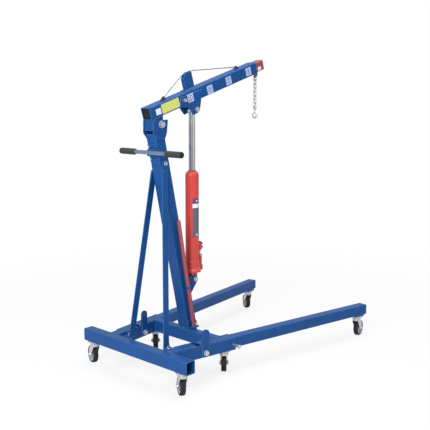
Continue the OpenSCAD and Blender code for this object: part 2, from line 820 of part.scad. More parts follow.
module guy_cable() {
  color("dimgray") place() boom_frame() {
    for (k = [0:2]) cable_run(cable_path[k], cable_path[k + 1], cable_d);
    for (k = [1, 2]) translate([cable_path[k][0], 0, cable_path[k][1]]) sphere(d = cable_d + 1, $fn = 32);
    for (k = [0, 3]) {
      a = cable_path[k];
      b = cable_path[k == 0 ? 1 : 2];
      along = (b - a) / norm(b - a);
      across = [-along[1], along[0]] * (k == 0 ? 1 : -1);
      cable_run(a, a + 26 * along, cable_d + 4);
      plate_xz([
          [a[0] - 34 * sign(along[0]), boom_top_n], [a[0] + 10 * sign(along[0]), boom_top_n],
          a - 6 * across, a + 7 * across, a + 7 * across - 10 * along
        ], -5, 5);
    }
  }
}

module inner_boom() {
  color("firebrick") place() boom_frame() difference() {
    union() {
      translate([inner_rear, 0, boom_mid_n]) tube_x(inner_end - inner_rear, inner_w, inner_w);
      translate([inner_end - wall, 0, boom_mid_n]) rotate([90, 0, 90])
        linear_extrude(wall) polygon(round_rect(inner_w, inner_w, tube_r));
      plate_xz([
          [boom_front + 2, inner_low_n + 2], [boom_front + 44, inner_low_n + 2],
          [boom_front + 28, hang_n - 6], [hang_a + 4, hang_n - 11],
          [hang_a - 6, hang_n - 11], [boom_front + 2, hang_n]
        ], -3, 3);
    }
    translate([hang_a + hang_drop * sin(boom_tilt), 0, hang_n + hang_drop * cos(boom_tilt)])
      bar_y(hang_hole_d, -10, 10);
    translate([first_hole, 0, boom_mid_n]) bar_y(m12 + 1, -boom_half, -boom_half + 2 * wall + 6);
  }
}

// ---------------------------------------------------------------- chain and hook

// Half of a link: an arc and one straight side
module link() {
  arc_r = (link_gap + wire_d) / 2;
  straight = link_in - link_gap;
  for (s = [0, 180]) rotate([0, s, 0]) {
    translate([0, 0, straight / 2]) rotate([90, 0, 0]) rotate_extrude(angle = 180)
      translate([arc_r, 0]) circle(d = wire_d, $fn = 24);
    translate([arc_r, 0, -straight / 2]) cylinder(d = wire_d, h = straight, $fn = 24);
  }
}

module chain() {
  color("silver") place() for (k = [0:link_count - 1])
    translate([hang_x, 0, link_top_z - k * link_pitch]) rotate([0, 0, k % 2 == 0 ? 90 : 0]) link();
}

module hook() {
  start = 38;   // where the bowl leaves the shank
  sweep = 257;  // how far the bowl runs round to its tip
  color("slategray") place() translate([hang_x, 0, 0]) rotate([0, 0, 90]) {
    translate([0, 0, eye_z]) rotate([90, 0, 0]) rotate_extrude() translate([eye_r, 0]) circle(d = eye_t);
    translate([0, 0, bowl_z]) rotate([90, 0, 0]) rotate([0, 0, start - 270])
      rotate_extrude(angle = sweep) translate([bowl_r, 0]) circle(d = hook_d);
    shank_end = [-bowl_r * sin(start), bowl_z + bowl_r * cos(start)];
    cable_run([0, eye_z - eye_r], shank_end, hook_d - 2);
    translate([shank_end[0], 0, shank_end[1]]) sphere(d = hook_d + 1);
  }
}

module hook_latch() {
  color("silver") place() translate([hang_x, 0, 0]) rotate([0, 0, 90])
    translate([latch_y, 0, latch_z]) rotate([0, latch_fall, 0])
      translate([0, -latch_w / 2, -latch_t / 2]) cube([latch_l, latch_w, latch_t]);
}

// ---------------------------------------------------------------- ram

module ram_bracket() {
  low_h = 197;
  high_h = 304;
  back_t = 5;
  inner = ram_lug_half + flat_gap;
  outline = [
    [post_front(low_h), base_top + low_h], [ram_x + 18, ram_low - 12], [ram_x + 19, ram_low + 6],
    [ram_x + 10, ram_low + 20], [post_front(high_h), base_top + high_h]
  ];
  color("royalblue") place() difference() {
    union() {
      side_plates(outline, inner, inner + ram_plate_t);
      plate_xz([
          [post_front(low_h), base_top + low_h], [post_front(low_h) + back_t, base_top + low_h],
          [post_front(high_h) + back_t, base_top + high_h], [post_front(high_h), base_top + high_h]
        ], -inner - 1, inner + 1);
    }
    translate([ram_x, 0, ram_low]) bar_y(ram_pin_d + 2 * run_gap, -cut_half, cut_half);
  }
}

module ram_body() {
  r = jacket_d / 2;
  bore_low = ram_base_z + 40;
  gland = 26;
  pump_half = 13;
  color("tomato") place() difference() {
    union() {
      translate([ram_x, 0, 0]) rotate_extrude($fn = 96) polygon([
        [0, ram_base_z], [flange_r, ram_base_z], [flange_r, ram_base_z + 10], [ram_base_r, ram_base_z + 20],
        [ram_base_r, ram_base_z + 60], [r, ram_base_z + 66], [r, jacket_z - 22], [r - 2, jacket_z - 13],
        [r - 7, jacket_z - 5], [r - 14, jacket_z], [0, jacket_z]
      ]);
      translate([ram_x, 0, ram_low]) bar_y(ram_eye_d, -ram_lug_half, ram_lug_half);
      translate([ram_x - ram_eye_d / 2, -ram_lug_half, ram_low])
        cube([ram_eye_d, 2 * ram_lug_half, ram_base_z - ram_low + 1]);
      translate([ram_x, -pump_half, ram_base_z]) cube([pump_x + 10 - ram_x, 2 * pump_half, pump_block_h]);
      translate([pump_x, 0, ram_base_z + 1])
        cylinder(d = plunger_d + 2 * pump_wall, h = pump_mouth_z - ram_base_z - 1);
      side_plates([
          [ram_x + r - 10, lever_z - 48], [lever_x + 7, lever_z - 12], [lever_x + 8, lever_z + 6],
          [lever_x - 4, lever_z + 9], [ram_x + r - 10, lever_z + 6]
        ], lever_lug_in, lever_lug_in + lever_lug_t);
    }
    translate([ram_x, 0, ram_low]) bar_y(ram_pin_d + 2 * run_gap, -cut_half, cut_half);
    translate([ram_x, 0, bore_low]) cylinder(d = piston_d + 2 * run_gap, h = jacket_z - gland - bore_low);
    translate([ram_x, 0, bore_low]) cylinder(d = rod_d + run_gap, h = jacket_z);
    translate([pump_x, 0, pump_bore_z]) cylinder(d = plunger_d + 2 * run_gap, h = pump_mouth_z);
    translate([lever_x, 0, lever_z]) bar_y(lever_pin_d + 2 * run_gap, -cut_half, cut_half);
    translate([valve_x, 0, valve_z]) bar_x(valve_d + 2 * run_gap, -flange_r, valve_in + 0.5);
  }
}

module ram_rod() {
  color("whitesmoke") place() difference() {
    union() {
      translate([ram_x, 0, piston_z]) cylinder(d = rod_d, h = ram_high - piston_z - 8);
      translate([ram_x, 0, piston_z]) cylinder(d = piston_d, h = 24);
      translate([ram_x, 0, ram_high]) bar_y(ram_pin_d + 24, -rod_head_half, rod_head_half);
    }
    translate([ram_x, 0, ram_high]) bar_y(ram_pin_d + 1, -cut_half, cut_half);
  }
}

module pump_plunger() {
  low_z = pump_bore_z + 14;
  head_z = lever_z - 12.3;
  color("silver") place() translate([pump_x, 0, 0]) {
    translate([0, 0, low_z]) cylinder(d = plunger_d, h = head_z - low_z);
    translate([0, 0, head_z - 3]) cylinder(d = plunger_d + 4, h = 3);
  }
}

// Socket for the pump handle, on a pin between the two lever lugs
module pump_socket() {
  mouth = 45;
  seat = 10;
  end = 32;
  cap = lever_lug_in + lever_lug_t + flat_gap;
  cap_t = 3;
  rise = 2;
  side_half = lever_half - 0.5;
  color("firebrick") place() translate([lever_x, 0, lever_z]) {
    difference() {
      union() {
        plate_xz([[-6, -6], [0, -11.5], [20, -11.5], [30, 6], [10, 9], [-6, 8]], -side_half, side_half);
        rotate([0, -mouth, 0]) translate([0, 0, rise]) bar_x(2 * lever_half, 6, end);
      }
      rotate([0, -mouth, 0]) translate([0, 0, rise]) bar_x(handle_d + 1, seat, end + 1);
      translate([-20, -20, -60]) cube([80, 40, 48.2]);
      translate([-20, -20, 6]) cube([16, 40, 30]);
    }
    bar_y(lever_pin_d, -cap - cap_t, cap + cap_t);
    side_bars(lever_pin_d + 5, cap, cap + cap_t);
  }
}

// Release valve in the rear of the ram's foot, with a flat to turn it by
module release_valve() {
  color("silver") place() translate([valve_x, 0, valve_z]) {
    bar_x(valve_d, -8, valve_in);
    bar_x(valve_d + 5, -14, -8);
    translate([-19, -4, -2.5]) cube([6, 8, 5]);
  }
}

// ---------------------------------------------------------------- stored pump handle

module handle_frame() {
  translate([handle_low[0], handle_y, handle_low[1]]) rotate([0, -handle_lean, 0]) children();
}

module pump_handle() {
  color("indianred") place() handle_frame() difference() {
    cylinder(d = handle_d, h = handle_len);
    translate([0, 0, -1]) cylinder(d = handle_d - 5, h = handle_len + 2);
  }
}

// Foot cup on the crossbar and a spring clip on the side of the post
clip_rise = 240;
clip_h = 22;
cup_h = 14;

module handle_cup() {
  bite = 20;   // length that the crossbar's face cuts off
  difference() {
    intersection() {
      handle_frame() translate([0, 0, -bite]) cylinder(d = handle_d + 10, h = bite + cup_h);
      translate([handle_low[0] - 100, handle_y - 50, base_top]) cube([200, 100, 100]);
    }
    handle_frame() cylinder(d = handle_d + 1, h = 2 * cup_h);
    translate([handle_low[0] - 100, -foot_half, base_top - 10]) cube([200, 100, 100]);
  }
}

module handle_clip() {
  handle_frame() translate([0, 0, clip_rise]) difference() {
    union() {
      cylinder(d = handle_d + 7, h = clip_h);
      translate([-7, 8, 0]) cube([14, -post_half - handle_y - 8, clip_h]);
    }
    translate([0, 0, -1]) cylinder(d = handle_d + 1, h = clip_h + 2);
    translate([-6, -handle_d, -1]) cube([12, handle_d - 6, clip_h + 2]);
  }
}

module handle_holder() {
  color("royalblue") place() {
    handle_cup();
    handle_clip();
  }
}

// ---------------------------------------------------------------- nodes

rear_cross_tube();
side_rails();
front_crossbar();
leg_bracket(-1);  // leg_bracket_right
leg_bracket(1);  // leg_bracket_left
leg_pivot_bolts();
leg(-1);  // leg_right
leg(1);  // leg_left
lock_pin(-1);  // lock_pin_right
lock_pin(1);  // lock_pin_left
caster_plates_base();
leg_caster_plate(4);  // caster_plate_right
leg_caster_plate(5);  // caster_plate_left
post_base();
post();
post_head();
braces();
frame_bolts();
push_bar_bracket();
push_bar();
push_bar_grips();
outer_boom();
boom_pivot_lug();
boom_pivot_bolt();
boom_clevis();
boom_fasteners();
boom_lock_bolt();
boom_strut();
guy_cable();
inner_boom();
chain();
hook();
hook_latch();
ram_bracket();
ram_body();
ram_rod();
pump_plunger();
pump_socket();
release_valve();
pump_handle();
handle_holder();
for (i = [0:5]) {
  fork(i);
  wheel(i);
  tyre(i);
}
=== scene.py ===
"""Looks of a folding engine hoist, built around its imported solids.

Every solid keeps its size and place. This script gives each one a finish, puts a detailed
piece over the ones that need more than a plain solid, and adds welds, films and small parts.
The row frame is in metres: +X to the front, +Y to the left, +Z up, floor at z = 0.
Points, radii and bevels of a Piece are millimetres in its own local frame.
"""

import json
import logging
import math
from dataclasses import dataclass, field
from enum import Enum
from typing import Callable, Iterable, NamedTuple, Sequence

import bmesh
import bpy
from mathutils import Matrix, Vector


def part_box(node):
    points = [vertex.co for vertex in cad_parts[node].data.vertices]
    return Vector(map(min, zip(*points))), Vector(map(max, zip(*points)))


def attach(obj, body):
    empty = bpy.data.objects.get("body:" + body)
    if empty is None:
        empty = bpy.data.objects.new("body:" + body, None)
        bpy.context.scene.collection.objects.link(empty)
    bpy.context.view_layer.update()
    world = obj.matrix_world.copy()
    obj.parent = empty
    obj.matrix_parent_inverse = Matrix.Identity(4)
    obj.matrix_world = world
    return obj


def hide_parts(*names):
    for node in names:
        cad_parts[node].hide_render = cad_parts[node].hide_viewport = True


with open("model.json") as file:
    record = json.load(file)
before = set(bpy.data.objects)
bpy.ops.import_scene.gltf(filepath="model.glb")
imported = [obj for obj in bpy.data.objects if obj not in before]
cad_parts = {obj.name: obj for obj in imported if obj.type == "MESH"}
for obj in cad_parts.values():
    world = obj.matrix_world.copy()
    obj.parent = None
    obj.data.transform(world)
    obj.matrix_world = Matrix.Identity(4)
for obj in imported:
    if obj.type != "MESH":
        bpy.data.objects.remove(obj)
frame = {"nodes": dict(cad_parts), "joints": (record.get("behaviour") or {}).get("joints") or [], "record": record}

LOG = logging.getLogger("hoist")
MM = 0.001
BEVEL_FROM = math.radians(30)
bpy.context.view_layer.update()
X_AXIS, Y_AXIS, Z_AXIS = Vector((1, 0, 0)), Vector((0, 1, 0)), Vector((0, 0, 1))

Rgb = tuple[float, float, float]
Point2 = tuple[float, float]
Point3 = tuple[float, float, float]
Radius = Callable[[float, float], float]
Socket = bpy.types.NodeSocket


# ---------- places in the frame


class Side(Enum):
    """The two sides of the hoist, seen from behind."""

    RIGHT = -1
    LEFT = 1

    @property
    def word(self) -> str:
        """The side's name as nodes and joints spell it."""
        return self.name.lower()


class Corner(Enum):
    """The six casters."""

    REAR_RIGHT = "rear_right"
    REAR_LEFT = "rear_left"
    MIDDLE_RIGHT = "middle_right"
    MIDDLE_LEFT = "middle_left"
    FRONT_RIGHT = "front_right"
    FRONT_LEFT = "front_left"

    @property
    def side(self) -> Side:
        """The side that the caster is on."""
        return Side[self.name.split("_")[1]]


@dataclass(frozen=True)
class Joint:
    """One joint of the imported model."""

    origin: Vector
    axis: Vector

    @classmethod
    def named(cls, name: str) -> "Joint":
        """Looks a joint up by name.

        Args:
            name: The joint's name in the record.

        Returns:
            Its place and its axis, which has length 1.
        """
        for joint in frame["joints"]:
            if joint["name"] == name:
                return cls(Vector(joint.get("pos_m", (0, 0, 0))), Vector(joint["axis"]).normalized())
        raise KeyError(name)


def axes_matrix(origin: Vector, x: Vector, y: Vector, z: Vector) -> Matrix:
    """Matrix of a local frame.

    Args:
        origin: Where the local zero lies.
        x: Local X in the row frame.
        y: Local Y in the row frame.
        z: Local Z in the row frame.

    Returns:
        The 4 by 4 matrix that takes local points to the row frame.
    """
    made = Matrix((x, y, z)).transposed().to_4x4()
    made.translation = origin
    return made


def base_frame() -> Matrix:
    """Frame of the base: zero at floor level, at the middle of its rear face."""
    low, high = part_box("rear_cross_tube")
    return Matrix.Translation(Vector((low.x, (low.y + high.y) / 2, 0)))


def boom_frame() -> Matrix:
    """Frame of the boom: X along it from the pivot, Z square to it, Y across."""
    along = Joint.named("boom_extend").axis
    return axes_matrix(Joint.named("boom_lift").origin, along, Y_AXIS, Vector((-along.z, 0, along.x)))


def ram_frame() -> Matrix:
    """Frame of the ram: zero on its lower pin, Z up its axis."""
    return Matrix.Translation(Joint.named("ram_tilt").origin)


def leg_frame(side: Side) -> Matrix:
    """Frame of a leg: zero on its pivot, X out along the leg, Z up."""
    hinge = Joint.named(f"leg_fold_{side.word}")
    return axes_matrix(hinge.origin, Z_AXIS.cross(hinge.axis), -hinge.axis, Z_AXIS)


def wheel_frame(corner: Corner) -> Matrix:
    """Frame of a caster: zero at the middle of its wheel, X the way it trails, Y its axle."""
    spin = Joint.named(f"spin_{corner.value}")
    return axes_matrix(spin.origin, spin.axis.cross(Z_AXIS), spin.axis, Z_AXIS)


def facing(place: Matrix, at: Vector, out: Vector) -> Matrix:
    """A frame whose Z points out of another one, from a place in millimetres of that one."""
    return place @ Matrix.Translation(at * MM) @ out.to_track_quat("Z", "Y").to_matrix().to_4x4()


# ---------- outlines and paths


def circle(steps: int, start: float = 0.0) -> list[tuple[float, float]]:
    """Cosine and sine of each step round a full turn, from a start in radians."""
    turns = [start + 2 * math.pi * k / steps for k in range(steps)]
    return [(math.cos(turn), math.sin(turn)) for turn in turns]


def disc_outline(radius: float, sides: int, middle: Point2 = (0.0, 0.0), start: float = 0.0) -> list[Point2]:
    """Corner points of a regular polygon, from a start in radians."""
    return [(middle[0] + radius * c, middle[1] + radius * s) for c, s in circle(sides, start)]


def rounded_box(low: Point2, high: Point2, radius: float, steps: int = 5) -> list[Point2]:
    """Corner points of a box with round corners.

    Args:
        low: Its lower corner.
        high: Its upper corner.
        radius: Radius of its corners.
        steps: Steps round each corner.

    Returns:
        The points, in order.
    """
    middles = (
        (high[0] - radius, high[1] - radius, 0), (low[0] + radius, high[1] - radius, 90),
        (low[0] + radius, low[1] + radius, 180), (high[0] - radius, low[1] + radius, 270),
    )
    points = []
    for x, y, start in middles:
        for k in range(steps + 1):
            turn = math.radians(start + 90 * k / steps)
            points.append((x + radius * math.cos(turn), y + radius * math.sin(turn)))
    return points


def mirrored(half: Sequence[Point2]) -> list[Point2]:
    """A lathe profile made of its upper half and the same below zero height."""
    return [*half, *((radius, -height) for radius, height in reversed(half))]


def plain(radius: float) -> Radius:
    """A radius that is the same everywhere, for a sweep."""
    return lambda turn, length: radius


def bead(radius: float, ripple: float = 0.18, pitch: float = 2.6) -> Radius:
    """Radius of a weld bead, which swells and narrows as the welder moves on, for a sweep."""
    return lambda turn, length: radius * (1 + ripple * math.sin(2 * math.pi * length / pitch))


def straight(start: Vector, end: Vector, step: float) -> list[Vector]:
    """Points along a straight line, no further apart than a step."""
    count = int((end - start).length / step) + 2
    return [start.lerp(end, k / (count - 1)) for k in range(count)]


def soft_path(corners: Iterable[Point3], radius: float, step: float) -> list[Vector]:
    """A path through corners, with each inner corner rounded.

    Args:
        corners: The corner points.
        radius: How far from a corner its rounding starts.
        step: Longest distance between two points.

    Returns:
        The points of the path.
    """
    points = [Vector(corner) for corner in corners]
    path = points[:1]
    for before, corner, after in zip(points, points[1:], points[2:]):
        enter = corner + (before - corner).normalized() * radius
        leave = corner + (after - corner).normalized() * radius
        path += straight(path[-1], enter, step)[1:]
        count = max(4, math.ceil(2 * radius / step))
        for k in range(1, count + 1):
            t = k / count
            path.append(enter.lerp(corner, t).lerp(corner.lerp(leave, t), t))
    return path + straight(path[-1], points[-1], step)[1:]


# ---------- meshes


def add_object(name: str, data: bpy.types.ID) -> bpy.types.Object:
    """Makes an object of its data and links it into the scene."""
    made = bpy.data.objects.new(name, data)
    bpy.context.scene.collection.objects.link(made)
    return made


class Dress(NamedTuple):
    """A material, and the record's slot that its finish comes from."""

    material: bpy.types.Material
    slot: str

    def put_on(self, made: bpy.types.Object, body: str) -> None:
        """Dresses an object and lets it ride on a body."""
        made.data.materials.clear()
        made.data.materials.append(self.material)
        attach(made, body)
        LOG.info("%s rides on %s: %d faces", made.name, body, len(made.data.polygons))


@dataclass
class Piece:
    """A mesh in the making, in millimetres of the frame that places it."""

    name: str
    place: Matrix
    verts: list[Vector] = field(default_factory=list)
    faces: list[tuple[int, ...]] = field(default_factory=list)

    def skin(self, rings: Sequence[Sequence[Vector]], closed: bool = False) -> "Piece":
        """Joins rings of points into a tube. A ring of one point makes a pole.

        Args:
            rings: The rings, in order along the tube.
            closed: Whether the last ring joins the first. If not, both ends are capped.

        Returns:
            This piece.
        """
        spans, sides = [], max(len(ring) for ring in rings)
        for ring in rings:
            spans.append(range(len(self.verts), len(self.verts) + len(ring)))
            self.verts += ring
        for low, high in zip(spans, spans[1:] + spans[:1] if closed else spans[1:]):
            for k in range(sides):
                n = (k + 1) % sides
                corners = (low[k % len(low)], low[n % len(low)], high[n % len(high)], high[k % len(high)])
                unique = tuple(dict.fromkeys(corners))
                if len(unique) > 2:
                    self.faces.append(unique)
        if not closed:
            self.faces += [tuple(reversed(spans[0])), tuple(spans[-1])]
        return self

    def lathe(self, profile: Sequence[Point2], steps: int = 48, axis: str = "Z", at: Vector = Vector()) -> "Piece":
        """Adds a closed turned shape.

        Args:
            profile: Closed outline as (radius, height) points. A radius of 0 makes a pole.
            steps: How many steps there are round the axis.
            axis: The local axis that it turns about, "Y" or "Z".
            at: Local middle of the shape.

        Returns:
            This piece.
        """
        rings = []
        for radius, height in profile:
            spots = [(radius * c, radius * s) for c, s in circle(steps)] if radius else [(0.0, 0.0)]
            rings.append([at + Vector((x, y, height) if axis == "Z" else (y, height, x)) for x, y in spots])
        return self.skin(rings, closed=True)

    def prism(self, outline: Sequence[Point2], low: float, high: float, plane: str = "XZ") -> "Piece":
        """Adds a flat plate with straight sides.

        Args:
            outline: Corner points, in order round the plate.
            low: Where the plate starts across its plane.
            high: Where it ends.
            plane: "XZ" or "XY", the plane that the outline lies in.

        Returns:
            This piece.
        """
        upright = plane == "XZ"
        return self.skin([[Vector((u, y, v) if upright else (u, v, y)) for u, v in outline] for y in (low, high)])

    def ring(self, outer: Sequence[Point2], inner: Sequence[Point2], low: float, high: float) -> "Piece":
        """Adds a flat ring between two edges in the XZ plane, from low to high across it."""
        corners = [((a, low), (b, low), (b, high), (a, high)) for a, b in zip(outer, inner)]
        return self.skin([[Vector((x, y, z)) for (x, z), y in four] for four in corners], closed=True)

    def sweep(self, path: Sequence[Vector], radius: Radius, sides: int, closed: bool = False) -> "Piece":
        """Adds a tube along a path.

        Args:
            path: Points along its middle.
            radius: Gives the radius for a turn round the tube in radians and a length along it.
            sides: How many sides the tube has.
            closed: Whether the path joins up with its own start.

        Returns:
            This piece.
        """
        ends = (path[-1], path[0]) if closed else (path[0], path[-1])
        spaced = [ends[0], *path, ends[1]]
        tangents = [(after - before).normalized() for before, after in zip(spaced, spaced[2:])]
        side = tangents[0].orthogonal().normalized()
        length, rings = 0.0, []
        for k, (point, tangent) in enumerate(zip(path, tangents)):
            if k:
                length += (point - path[k - 1]).length
                side = tangents[k - 1].rotation_difference(tangent) @ side
            up, ring = tangent.cross(side), []
            for s, (cosine, sine) in enumerate(circle(sides)):
                reach = radius(2 * math.pi * s / sides, length)
                ring.append(point + reach * (cosine * side + sine * up))
            rings.append(ring)
        return self.skin(rings, closed)

    def build(
        self, body: str, dress: Dress, bevel: float = 0.0, stands_for: Iterable[str] = (), sharp: float = 32.0
    ) -> None:
        """Makes the object, rounds and smooths it, and lets it ride on its body.

        Args:
            body: The body that it moves with.
            dress: What it is made of.
            bevel: Radius of its rounded edges, or 0 for none.
            stands_for: Nodes that it replaces.
            sharp: The least bend of an edge that stays sharp, in degrees.
        """
        mesh = bpy.data.meshes.new(self.name)
        mesh.from_pydata([self.place @ (v * MM) for v in self.verts], [], self.faces)
        work = bmesh.new()
        work.from_mesh(mesh)
        bmesh.ops.recalc_face_normals(work, faces=work.faces)
        if bevel > 0:
            edges = [e for e in work.edges if len(e.link_faces) == 2 and e.calc_face_angle(0.0) > BEVEL_FROM]
            bmesh.ops.bevel(work, geom=edges, offset=bevel * MM, segments=2, affect="EDGES", clamp_overlap=True)
        work.normal_update()
        for face in work.faces:
            face.smooth = True
        for edge in work.edges:
            edge.smooth = len(edge.link_faces) == 2 and edge.calc_face_angle(0.0) < math.radians(sharp)
        work.to_mesh(mesh)
        work.free()
        made = add_object(self.name, mesh)
        dress.put_on(made, body)
        if stands_for:
            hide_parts(*stands_for)


# ---------- shader groups


class Nodes:
    """A small helper that adds and joins shader nodes in one tree."""

    def __init__(self, tree: bpy.types.NodeTree) -> None:
        """Keeps the tree that nodes are added to."""
        self.tree = tree

    @classmethod
    def cleared(cls, owner: bpy.types.ID) -> "Nodes":
        """Switches the nodes of a material or a world on, and clears them."""
        owner.use_nodes = True
        owner.node_tree.nodes.clear()
        return cls(owner.node_tree)

    def add(self, kind: str, inputs: dict[str | int, object] | None = None, **values: object) -> bpy.types.Node:
        """Adds a node.

        Args:
            kind: Blender's name for the node, without its ShaderNode prefix.
            inputs: What inputs get, by name or number: a socket to join, or a value.
            values: Attributes of the node to set.

        Returns:
            The new node.
        """
        node = self.tree.nodes.new(kind if kind.startswith("Node") else f"ShaderNode{kind}")
        for key, value in values.items():
            setattr(node, key, value)
        for key, value in (inputs or {}).items():
            if isinstance(value, Socket):
                self.tree.links.new(value, node.inputs[key])
            else:
                node.inputs[key].default_value = value
        return node

    def math(self, operation: str, first: object, second: object = 0.0, clamp: bool = False) -> Socket:
        """Adds a sum on one or two sockets or numbers."""
        return self.add("Math", {0: first, 1: second}, operation=operation, use_clamp=clamp).outputs[0]

    def mix(self, factor: object, first: object, second: object) -> Socket:
        """Mixes two sockets or colours by a factor."""
        pair = [(*value, 1.0) if isinstance(value, tuple) else value for value in (first, second)]
        return self.add("Mix", {0: factor, 6: pair[0], 7: pair[1]}, data_type="RGBA").outputs[2]

    def local(self) -> Socket:
        """The shaded point in its object's own coordinates."""
        return self.add("TexCoord").outputs["Object"]

    def noise(self, where: object, scale: object, detail: object) -> Socket:
        """Cloud noise, 0 to 1."""
        return self.add("TexNoise", {"Vector": where, "Scale": scale, "Detail": detail}).outputs["Fac"]


class Effects:
    """Shader groups that several finishes share, each built once. Each gives a mask from 0 to 1."""

    def __init__(self) -> None:
        """Builds every group."""
        self.mottle = self._group("mottle", {"Scale": 12.0, "Detail": 4.0}, self._mottle)
        self.scratches = self._group("scratches", {"Scale": 60.0, "Amount": 0.5}, self._scratches)
        self.dust = self._group("dust", {"Amount": 0.3}, self._dust)
        self.edges = self._group("edges", {"Radius": 0.002, "Gain": 6.0}, self._edges)

    @staticmethod
    def _group(name: str, inputs: dict[str, float], draw: Callable[..., Socket]) -> bpy.types.NodeTree:
        """Makes a group with named value inputs.

        Args:
            name: The group's name.
            inputs: Each input's name and default.
            draw: Adds the group's nodes and returns the socket of its mask.

        Returns:
            The group's tree.
        """
        tree = bpy.data.node_groups.new(name, "ShaderNodeTree")
        for label, value in inputs.items():
            socket = tree.interface.new_socket(label, in_out="INPUT", socket_type="NodeSocketFloat")
            socket.default_value = value
        tree.interface.new_socket("Mask", in_out="OUTPUT", socket_type="NodeSocketFloat")
        nodes = Nodes(tree)
        mask = draw(nodes, nodes.add("NodeGroupInput").outputs)
        nodes.add("NodeGroupOutput", {"Mask": mask})
        return tree

    @staticmethod
    def _mottle(nodes: Nodes, given: bpy.types.NodeOutputs) -> Socket:
        """Soft clouds at a coarse and a fine scale."""
        return nodes.noise(nodes.local(), given["Scale"], given["Detail"])

    @staticmethod
    def _scratches(nodes: Nodes, given: bpy.types.NodeOutputs) -> Socket:
        """Thin streaks in three directions, 0 where there is none."""
        where, crest, gain = nodes.local(), 0.66, 9.0
        total: object = 0.0
        for stretch in ((1.0, 14.0, 9.0), (12.0, 1.0, 10.0), (9.0, 13.0, 1.0)):
            turned = nodes.add("Mapping", {"Vector": where, "Scale": stretch, "Rotation": (0.3, 0.2, 0.5)})
            high = nodes.math("SUBTRACT", nodes.noise(turned.outputs["Vector"], given["Scale"], 2.0), crest)
            total = nodes.math("ADD", total, nodes.math("MULTIPLY", high, gain, clamp=True), clamp=True)
        return nodes.math("MULTIPLY", total, given["Amount"])

    @staticmethod
    def _dust(nodes: Nodes, given: bpy.types.NodeOutputs) -> Socket:
        """Dust that settles on faces that look up, broken by clouds."""
        parts = nodes.add("SeparateXYZ", {0: nodes.add("NewGeometry").outputs["Normal"]})
        up = nodes.math("POWER", nodes.math("MAXIMUM", parts.outputs["Z"], 0.0), 3.0)
        patchy = nodes.math("MULTIPLY", up, nodes.noise(nodes.local(), 40.0, 6.0))
        return nodes.math("MULTIPLY", patchy, given["Amount"], clamp=True)

    @staticmethod
    def _edges(nodes: Nodes, given: bpy.types.NodeOutputs) -> Socket:
        """Mask for edges painted lighter, part wear and part painted highlight: 0 on flats and up to 1 along a rounded
        edge.
        """
        rounded = nodes.add("Bevel", {"Radius": given["Radius"]}, samples=4).outputs[0]
        flat = nodes.add("NewGeometry").outputs["True Normal"]
        dot = nodes.add("VectorMath", {0: rounded, 1: flat}, operation="DOT_PRODUCT")
        bend = nodes.math("SUBTRACT", 1.0, dot.outputs["Value"])
        return nodes.math("MULTIPLY", bend, given["Gain"], clamp=True)


# ---------- finishes


@dataclass(frozen=True)
class Finish:
    """A surface: its colour, gloss, grain, wear and painted edge highlight, with lengths in metres."""

    name: str
    colour: Rgb
    roughness: float
    metallic: float = 0.0
    coat: float = 0.0
    specular: float = 0.5
    edge_colour: Rgb | None = None
    edge_amount: float = 0.4
    bevel: float = 0.0012
    mottle: float = 0.12
    mottle_scale: float = 14.0
    grain_scale: float = 900.0
    grain: float = 0.12
    scratch: float = 0.25
    scratch_colour: Rgb = (0.6, 0.62, 0.65)
    dust: float = 0.12
    dust_colour: Rgb = (0.55, 0.53, 0.48)
    dust_roughness: float = 0.4
    cloud_roughness: float = 0.16
    coat_roughness: float = 0.16
    scratch_scale: float = 22.0
    bump_depth: float = 0.0004

    def material(self, effects: Effects) -> bpy.types.Material:
        """Builds the material.

        Args:
            effects: The shared shader groups.

        Returns:
            The material, with one Principled shader.
        """
        made = bpy.data.materials.new(self.name)
        nodes = Nodes.cleared(made)

        def mask(group: bpy.types.NodeTree, **inputs: float) -> Socket:
            """The mask of a shared group."""
            return nodes.add("Group", inputs, node_tree=group).outputs["Mask"]

        clouds = mask(effects.mottle, Scale=self.mottle_scale, Detail=5.0)
        darker = tuple(c * (1 - self.mottle) for c in self.colour)
        lighter = tuple(min(1.0, c * (1 + self.mottle)) for c in self.colour)
        colour = nodes.mix(clouds, darker, lighter)
        # Edges get a lighter colour: part wear, part painted highlight.
        if self.edge_colour is not None:
            edges = mask(effects.edges, Radius=self.bevel * 1.6, Gain=5.0)
            colour = nodes.mix(nodes.math("MULTIPLY", edges, self.edge_amount), colour, self.edge_colour)
        streaks = mask(effects.scratches, Scale=self.scratch_scale, Amount=self.scratch)
        colour = nodes.mix(streaks, colour, self.scratch_colour)
        film = mask(effects.dust, Amount=self.dust)
        colour = nodes.mix(film, colour, self.dust_colour)

        uneven = nodes.math("MULTIPLY", clouds, self.cloud_roughness)
        worn = nodes.math("ADD", uneven, self.roughness - self.cloud_roughness / 2)
        rough = nodes.math("ADD", worn, nodes.math("MULTIPLY", film, self.dust_roughness), clamp=True)
        peel = nodes.noise(nodes.local(), self.grain_scale, 3.0)
        rounded = nodes.add("Bevel", {"Radius": self.bevel}, samples=4).outputs["Normal"]
        bump = nodes.add("Bump", {
            "Strength": self.grain, "Distance": self.bump_depth, "Height": peel, "Normal": rounded,
        })
        shader = nodes.add("BsdfPrincipled", {
            "Base Color": colour, "Roughness": rough, "Metallic": self.metallic, "Specular IOR Level": self.specular,
            "Coat Weight": self.coat, "Coat Roughness": self.coat_roughness, "Normal": bump.outputs["Normal"],
        })
        nodes.add("OutputMaterial", {"Surface": shader.outputs["BSDF"]})
        return made


